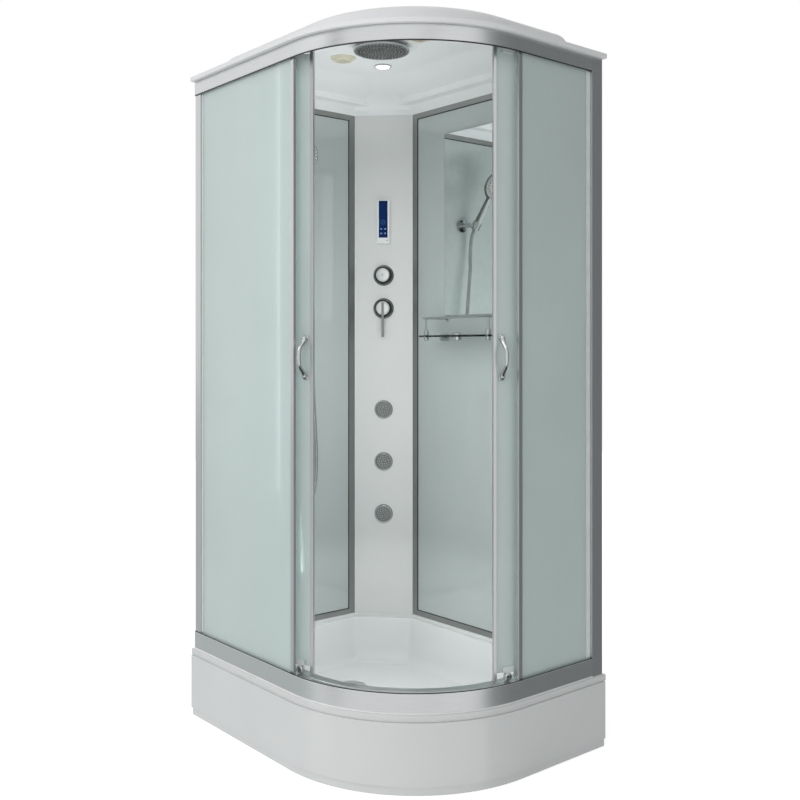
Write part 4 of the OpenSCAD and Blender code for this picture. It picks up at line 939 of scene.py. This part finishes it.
def make_carriages(side):
    """The CAD frame without its stile and seal, which slimmer pieces replace."""
    soften(f"{SIDE[side]}_door_frame", "chrome", "strip", width=0.35, slot="anodised",
           pick=lambda c, n: 0 if door_place(side, c)[0] > CAP_R else 1,
           keep=lambda c: CARRIAGES[0] < door_place(side, c)[1] < CARRIAGES[1])


def make_handle(side):
    """Two bows back to back, with a collar at each foot."""
    bm = bmesh.new()
    foot_d = BOW[0][0]
    mid_glass = DOOR_R - GLASS_T / 2
    for face, out in ((1, 1.0), (-1, INNER_BOW_SHARE)):
        half = [Vector((foot_d + (d - foot_d) * out, h, r)) for (d, h), r in zip(BOW, BOW_R)]
        line = half + [Vector((p.x, -p.y, p.z)) for p in half[-2::-1]]
        fine = spline_points(line, HANDLE_STEPS)
        fine = ([Vector((fine[0].x, fine[0].y + BOW_TIP, BOW_TIP_R))] + fine
                + [Vector((fine[-1].x, fine[-1].y - BOW_TIP, BOW_TIP_R))])

        def off_glass(a, b, h, face=face):
            return on_door(side, mid_glass + face * (GLASS_T / 2 + h), HANDLE_S + a, HANDLE_Z + b)
        tube(bm, [Vector(off_glass(0, f.y, f.x)) * MM for f in fine], [f.z * MM for f in fine],
             HANDLE_SIDES)
        for end in (-1, 1):
            lathe(bm, HANDLE_FOOT, shifted(off_glass, 0, end * HANDLE_FOOT_Z), 40)
    finish_mesh(bm, SIDE[side] + "_handle_bow", "chrome", smooth_to=55,
                stands_for=SIDE[side] + "_door_handle")


def make_doors():
    for side in SIDE:
        make_carriages(side)
        door_bar(side, "stile", "profile", STILE, STILE_LOW, STILE_HIGH, 0.4)
        bent_bar(side, "trail_seal", "seal", *TRAIL_SEAL)
        bent_bar(side, "wipers", "frosted", *WIPERS)
        make_handle(side)


# Ceiling fittings. Heights count downwards from the ceiling.
RAIN_BODY = [(38, 0), (38, 2.4), (17, 3), (16, 9), (60, 9.6), (80, 11), (83.2, 12.6), (84, 15),
             (84, 17.6), (83, 19.4), (81, 20), (79, 19.6), (78, 18.6)]
RAIN_FACE = [(78.2, 17), (78, 18.4), (60, 18.8), (2, 19)]
RAIN_NOZZLE = [(1.375, 18), (1.32, 18.9), (1.1, 19.51), (0.77, 19.9)]
LAMP_RING = [(28, 0), (28, 1.6), (27.2, 2.8), (24.6, 3.2), (23.4, 2.4)]
LAMP_LENS = [(23.6, 1.6), (23.4, 3), (21, 4.6), (16, 5.6), (9, 6), (2, 6)]
SPEAKER = [(39, 0), (39, 2), (38, 3.4), (33, 4.4), (31.4, 5), (31, 7), (28.6, 9.4), (27, 10.4),
           (24.6, 10.8), (20, 11), (3, 10.4)]
SPEAKER_HOLE = [(1.1, 10), (1.1, 11.1), (0.9, 11.2)]


def make_ceiling():
    rain, lamp, speaker = (under(name) for name in ("overhead_shower", "ceiling_light", "speaker"))
    make_turned("rain_body", "chrome", rain, RAIN_BODY, 128, cap=False, smooth_to=45,
                stands_for="overhead_shower")
    # The face's nearly black chrome paints a dark reflection under the head.
    make_turned("rain_face", "dark_chrome", rain, RAIN_FACE, 96)
    make_studs("rain_nozzles", "nozzle", rain, [(0, 0)] + ring_spots(7, 10.6, twist=0.2),
               RAIN_NOZZLE, 10, smooth_to=60)
    make_turned("lamp_ring", "chrome", lamp, LAMP_RING, 80, cap=False,
                stands_for="ceiling_light")
    make_turned("lamp_lens", "lamp", lamp, LAMP_LENS, smooth_to=60)
    make_turned("speaker_dome", "cream", speaker, SPEAKER, 80, stands_for="speaker")
    make_studs("speaker_holes", "rubber", speaker, ring_spots(3, 6.3), SPEAKER_HOLE, 12)
    soften("fan_housing", "cream")
    soften("fan_rotor", "rubber", width=0.15)


# Column fittings. Heights count outwards from the column's face.
DIVERTER_Z, MIXER_Z = (round(JOINT_AT[f"{name}_turn"].z) for name in ("diverter", "mixer"))
TRIMS = [((x, 218, 0.05), (x + 2.8, 1962, 0.6)) for x in (-101, 98.2)]
VALVE_PLATE = [(36, 0.1), (36, 1.6), (35.2, 3), (33.6, 4.2), (31.6, 5.4), (29.8, 5.8),
               (29, 5.2), (28.6, 4.4)]
VALVE_CONE = [(29, 4.4), (27.6, 5.2), (26, 7.4), (25.4, 8.2), (5, 8.2), (5, 17.8)]
VALVE_CORE = [(24, 0), (24, -46)]
KNOB = [(5.1, 8.5), (22.6, 8.5), (24, 9.4), (24, 16), (23.2, 16.6), (23.2, 17.6), (24, 18.2),
        (24, 27.6), (23.6, 29.2)]
KNOB_FACE = [(23.6, 29.2), (22.4, 30.6), (20.6, 31.5), (17, 32), (10, 32.3), (2, 32.4)]
JETS_Z = [round(JOINT_AT[f"jet_{n}_tilt"].z, 1) for n in JETS]
JET_DOT = [(1.5, 8.6), (1.5, 9.3), (1.1, 9.5)]
# Rings of dots on a jet: radius and number
JET_RINGS = ((19.5, 14), (13, 9), (6.5, 5))
JET_DOTS = [polar(r, a) for r, count in JET_RINGS for a in around(count, 0.3)]
JET_GASKET = [(31.4, 0.05), (32.2, 0.1), (32.2, 0.5), (31.4, 0.6)]
COLUMN_OUT = Vector((math.sqrt(0.5), -math.sqrt(0.5), 0))
FACING = 0.6


def faces_out(place, normal):
    """The second look is for faces that look out of the column; there a lighter copy of the chrome
    paints their highlight.
    """
    return 1 if normal.dot(COLUMN_OUT) > FACING else 0


def make_valve(z, stands_for=None):
    face = on_column(z)
    # The plate's darkened chrome is painted shade, and the cone's nearly black chrome is a painted
    # dark reflection.
    make_turned(f"valve_plate_{z}", "shaded_chrome", face, VALVE_PLATE, 96, cap=False,
                stands_for=stands_for, smooth_to=45)
    make_turned(f"valve_cone_{z}", "dark_chrome", face, VALVE_CONE, 96, cap=False,
                smooth_to=45)
    make_turned(f"valve_core_{z}", "pipe", face, VALVE_CORE, 48)


def make_jets():
    soften("jet_bodies", "chrome", width=0.6)
    for n, z in zip(JETS, JETS_Z):
        soften(f"jet_nozzle_{n}", "jet", width=0.4)
        make_studs(f"jet_dots_{n}", "nozzle", on_column(z), JET_DOTS, JET_DOT, 10,
                   body=f"jet_nozzle_{n}")
        make_turned(f"jet_gasket_{n}", "rubber", on_column(z), JET_GASKET, cap=False)


def make_column():
    soften("column_panel", "column", width=1.2)
    make_boxes("column_trims", "acrylic", TRIMS, on_column(0), 0.2)
    soften("control_panel", "acrylic", width=1.2, segments=3)
    soften("control_display", "display", width=0.2)
    soften("arrow_pad", "key", width=0.3)
    for n in KEYS:
        soften(f"key_{n}", "key", segments=3)
    make_display()
    make_key_print()
    make_valve(DIVERTER_Z, stands_for="valve_bodies")
    make_valve(MIXER_Z)
    knob = on_column(DIVERTER_Z)
    # The knob's darkened side is painted shade, and its near-white face is a painted highlight.
    make_turned("diverter_turn", "shaded_chrome", knob, KNOB, 96, cap=False,
                stands_for="diverter_knob", smooth_to=45)
    make_turned("diverter_face", "white_chrome", knob, KNOB_FACE, 96, cap=False, smooth_to=60,
                body="diverter_knob")
    # Cap and lever: darker chrome paints shade and dark reflection, and lighter chrome paints a
    # highlight on faces that look out.
    soften("mixer_cap", "shaded_chrome", "white_chrome", width=0.7, pick=faces_out, segments=3)
    soften("mixer_lever", "dark_chrome", "shaded_chrome", width=1.6, pick=faces_out, segments=3)
    make_jets()


# Display and keys: places are (across, height) on the column
SCREEN = (-12.5, 1603.0, 12.5, 1656.0)
SCREEN_FACE = 12.02
SCREEN_FRAME = 0.7
LIT_T = 0.14
CLOCK = "1230"
CLOCK_X = (-10.4, -5.2, 1.4, 6.6)
CLOCK_Z = 1634.0
# Lit strokes of each digit, and each stroke's (x, z, width, height)
DIGITS = {"0": "abcdef", "1": "bc", "2": "abged", "3": "abgcd"}
SEGMENTS = {"a": (0.5, 6, 3.2, 0.8), "g": (0.5, 3.1, 3.2, 0.8), "d": (0.5, 0.2, 3.2, 0.8),
            "f": (0, 3.7, 0.8, 2.6), "b": (3.4, 3.7, 0.8, 2.6), "e": (0, 0.8, 0.8, 2.6),
            "c": (3.4, 0.8, 0.8, 2.6)}
COLON = [(-0.5, z, 0.5, z + 0.9) for z in (1636.2, 1638.8)]
BARS = [(-9 + 4 * k, 1610, -6.6 + 4 * k, 1612 + 1.6 * k) for k in range(5)]
LINES = [(-9.5, 1648.5, 9.5, 1649.3), (-9.5, 1626.5, 9.5, 1627.1)]
SENSOR = [(1.6, 13.9), (1.6, 14.1), (1.2, 14.2)]
SENSOR_X, SENSOR_Z = 13, 1523
KEY_FACE = 14.7
PAD_Z = 1587.0
ARROW = [(8.8, 0), (5.0, 2.5), (5.9, 0), (5.0, -2.5)]
KEY_SPOTS = ((-7, 1563.5), (7, 1563.5), (-7, 1547.7), (7, 1547.7))
# Marks round a key's middle: three lines, or a ring and a bar
KEY_LINES = [(-2.4, 1.6 * k - 1.9, 2.4, 1.6 * k - 1.2) for k in range(3)]
KEY_BAR = [(-0.3, 0.2, 0.3, 2.8)]
KEY_RING = [(1.5, KEY_FACE + 0.04), (2.3, KEY_FACE + 0.04), (2.3, KEY_FACE + 0.18),
            (1.5, KEY_FACE + 0.18)]


def plates(spots, low, high):
    """Blocks on the column from places (x0, z0, x1, z1) and their two heights."""
    return [((x0, z0, low), (x1, z1, high)) for x0, z0, x1, z1 in spots]


def make_display():
    """A lit screen with a clock and bars over the keys, in a thin pale frame."""
    x0, z0, x1, z1 = SCREEN
    face, flat = on_column(0), SCREEN_FACE
    t = SCREEN_FRAME
    frame_bars = [(x0, z0, x1, z0 + t), (x0, z1 - t, x1, z1), (x0, z0, x0 + t, z1),
                  (x1 - t, z0, x1, z1)]
    make_boxes("display_frame", "print", plates(frame_bars, flat - 0.2, flat + 0.2), face, 0.1)
    t += 0.1
    glass = [(x0 + t, z0 + t, x1 - t, z1 - t)]
    make_boxes("display_screen", "screen", plates(glass, flat - 0.2, flat + 0.06), face, 0.1)
    strokes = [(x + px, CLOCK_Z + pz, x + px + w, CLOCK_Z + pz + h)
               for x, digit in zip(CLOCK_X, CLOCK)
               for px, pz, w, h in (SEGMENTS[part] for part in DIGITS[digit])]
    make_boxes("display_digits", "digits",
               plates(strokes + COLON + BARS + LINES, flat, flat + LIT_T), face, 0.05)
    make_turned("panel_sensor", "rubber", on_column(SENSOR_Z, SENSOR_X), SENSOR, 24)


def make_key_print():
    """Lit arrows on the pad and marks on the keys."""
    bm = bmesh.new()
    for k in range(4):
        points = [turned_by(Vector(p), 90 * k) for p in ARROW]
        loft(bm, [[on_column(PAD_Z)(*p, h) for p in points]
                  for h in (KEY_FACE + 0.05, KEY_FACE + 0.2)])
    finish_mesh(bm, "pad_print", "print", body="arrow_pad")
    for n, (x, z) in zip(KEYS, KEY_SPOTS):
        bm = bmesh.new()
        key = on_column(z, x)
        marks = plates(KEY_LINES, KEY_FACE, KEY_FACE + 0.18)
        if n % 2 == 0:
            lathe(bm, KEY_RING, key, 24, cap=False)
            marks = plates(KEY_BAR, KEY_FACE, KEY_FACE + 0.2)
        for low, high in marks:
            box_of(bm, low, high, key, 0.05)
        finish_mesh(bm, f"key_print_{n}", "print", body=f"key_{n}")


# Wall fittings. The gallery follows the boxes of the shelf and of the CAD rail.
SHELF_LOW, SHELF_HIGH = (corner.z for corner in corners("glass_shelf"))
GALLERY_R = 3.6
# The rail's line in from the side, the front and the top of its box, and its bends
GALLERY_SIDE, GALLERY_FRONT, GALLERY_TOP = 8.5, 17, 4
GALLERY_BEND = 6
POST_LOW = 1170
BRACKET_HALF, BRACKET_DEPTH = 6, 34
# A bracket's jaws under and over the shelf
JAW_BELOW, JAW_ABOVE = (-11.5, -0.2), (0.2, 4.5)
UPPER_SEAT = [(7.6, 0.1), (8.6, 1), (8.6, 15), (7.8, 16.6), (4, 17)]
LOWER_SEAT = [(4, -11), (7.6, -10.6), (8.4, -9.6), (8.4, -1), (7.6, -0.1)]
ROSE = [(9.6, 0.2), (9.6, 2.4), (8.4, 4), (4, 5)]
CLIP_LOW = [(12, -11.6), (14, -10.6), (14.4, -9), (14.4, -0.1)]
CLIP_HIGH = [(14.4, 0.1), (14.4, 2), (12.6, 4.8), (9, 6), (2, 6.2)]
CLIP_STRETCH = 1.35
# Seals between the fixed panes and the wall posts, by two corners
PANE_STRIPS = (((480.3, 330, 262), (481.4, 346.6, 1938)),
               ((-459.5, -381.4, 262), (-452, -380.3, 1938)))
# Dark strips of painted shade along the frames' inner edges: width, heights, and the panels' ends
# along the left and the back wall
SHADE_LINE_W = 2.0
SHADE_LINE_LOW, SHADE_LINE_HIGH = 235.0, 1945.0
SHADE_LINE_NEAR, SHADE_LINE_FAR = 1.2, 4.1
LEFT_PANEL = (-298.0, 204.0)
BACK_PANEL = (-304.0, 424.0)


def raised(profile, by):
    return [(r, h + by) for r, h in profile]


def make_gallery():
    """Rail, posts and brackets of the glass shelf, all in chrome."""
    (x0, y0, _), (x1, wall, z1) = corners("shelf_rail")
    left, right, y, top = x0 + GALLERY_SIDE, x1 - GALLERY_SIDE, y0 + GALLERY_FRONT, z1 - GALLERY_TOP
    left_half = [(left, wall - 1), (left, wall - 20), (left, y + GALLERY_BEND),
                 (left + 0.6, y + 1.5), (left + GALLERY_BEND, y)]
    route = left_half + [(left + right - x, depth) for x, depth in reversed(left_half)]
    bm = bmesh.new()
    fine = spline_points([Vector((*p, top)) for p in route], 6)
    tube(bm, [q * MM for q in fine], [GALLERY_R * MM] * len(fine), 20)
    for x in (left, right):
        post = shifted(as_is, x, y)
        lathe(bm, [(GALLERY_R, POST_LOW), (GALLERY_R, top - 1), (2, top + 1)], post, 24)
        lathe(bm, raised(UPPER_SEAT, SHELF_HIGH), post, 40)
        lathe(bm, raised(LOWER_SEAT, SHELF_LOW), post, 40)
        lathe(bm, ROSE, lambda a, b, h, x=x: (x + a, wall - h, top + b), 40)
        for face, (low, high) in ((SHELF_LOW, JAW_BELOW), (SHELF_HIGH, JAW_ABOVE)):
            box_of(bm, (x - BRACKET_HALF, wall - BRACKET_DEPTH, face + low),
                   (x + BRACKET_HALF, wall - 0.2, face + high), as_is, 1.2)

    def clip(a, b, h):
        return (left + right) / 2 + CLIP_STRETCH * a, y + b, h
    lathe(bm, raised(CLIP_LOW, SHELF_LOW), clip, 56)
    lathe(bm, raised(CLIP_HIGH, SHELF_HIGH), clip, 56)
    finish_mesh(bm, "gallery_rail", "chrome", stands_for="shelf_rail", smooth_to=45)


def make_frame_shade_lines():
    """Dark strips between the wall frames and their glass panels, which paint the shade line along
    the frames' inner edges.
    """
    bm = bmesh.new()
    w, low, high = SHADE_LINE_W, SHADE_LINE_LOW, SHADE_LINE_HIGH
    for place, (start, end) in ((lambda a, b, h: (WALL_X - h, a, b), LEFT_PANEL),
                                (lambda a, b, h: (a, WALL_Y + h, b), BACK_PANEL)):
        for a, b in (((start, low), (start + w, high)), ((end - w, low), (end, high)),
                     ((start, low), (end, low + w)), ((start, high - w), (end, high))):
            box_of(bm, (*a, SHADE_LINE_NEAR), (*b, SHADE_LINE_FAR), place, 0.3)
    finish_mesh(bm, "panel_beads", "rubber")


def make_walls():
    for wall in ("left", "back"):
        soften(f"{wall}_wall_frame", "wall_profile", width=0.8)
    soften("glass_posts", "profile", width=0.8)
    soften("mirror", "mirror", "edge", width=1.2, pick=lambda c, n: 0 if n.y < -0.98 else 1)
    soften("glass_shelf", "clear", width=0.8)
    make_gallery()
    make_boxes("pane_strips", "strip", PANE_STRIPS, as_is, 0.2)
    make_frame_shade_lines()


# Hand shower. It leans out of its holder, turned a little to one side.
HOLDER_AT = JOINT_AT["holder_tilt"]
HEAD_LEAN, HEAD_TURN = 25, 10
HEAD_UP, HEAD_FACE = 169.0, 8.0
HEAD_OUT = turned_by(Vector((1, 0)), -HEAD_LEAN)
HEAD_NOZZLE = [(2.3, -0.3), (2.2, 0.4), (1.4, 0.7)]
# Raised rings on the face: radii and section
HEAD_RINGS = (48.4, 36.4, 15.6)
RING_SECTION = [(1, -0.2), (0.8, 0.3), (-0.8, 0.3), (-1, -0.2)]


def on_head(a, b, h):
    """Maps (across, along the handle, out of the face) to the hand shower's face."""
    up = turned_by(Vector((a, HEAD_UP + b)), HEAD_TURN)
    out = turned_by(Vector((HEAD_FACE + h, up.y)), -HEAD_LEAN)
    return HOLDER_AT.x + out.x, HOLDER_AT.y + up.x, HOLDER_AT.z + out.y


def head_look(place, normal):
    """The second look is for the face with the nozzles."""
    out = (place - HOLDER_AT).xz.dot(HEAD_OUT)
    return 1 if out > HEAD_FACE - 0.1 and normal.xz.dot(HEAD_OUT) > 0.5 else 0


def make_hand_shower():
    # The body's darkened chrome is painted shade.
    soften("hand_shower", "shaded_chrome", "nozzle", width=0.8, pick=head_look)
    bm = bmesh.new()
    studs(bm, on_head, ring_spots(4, 10.4), HEAD_NOZZLE, 12)
    for r in HEAD_RINGS:
        lathe(bm, [(r + out, h) for out, h in RING_SECTION], on_head, cap=False)
    finish_mesh(bm, "hand_shower_nozzles", "rubber", body="hand_shower")
    for name in ("holder_bracket", "holder_cup", "hose_outlet"):
        soften(name, "chrome", width=0.6)


def make_small_parts():
    soften("tray_skirt", "acrylic")
    soften("drain_cover", "chrome", width=0.6)
    soften("drain_trap", "drain", width=0.6)
    soften("levelling_feet", "rubber", width=0.8, slot="foot_plastic")


make_camera()
make_hose()
dress_nodes()
make_tray()
make_roof()
make_rails()
make_doors()
make_ceiling()
make_column()
make_walls()
make_hand_shower()
make_small_parts()
make_world()
make_sun()
for name, settings in FILLS.items():
    make_fill(name, *settings)
make_floor()
make_cards()
scene.view_settings.view_transform = "Standard"
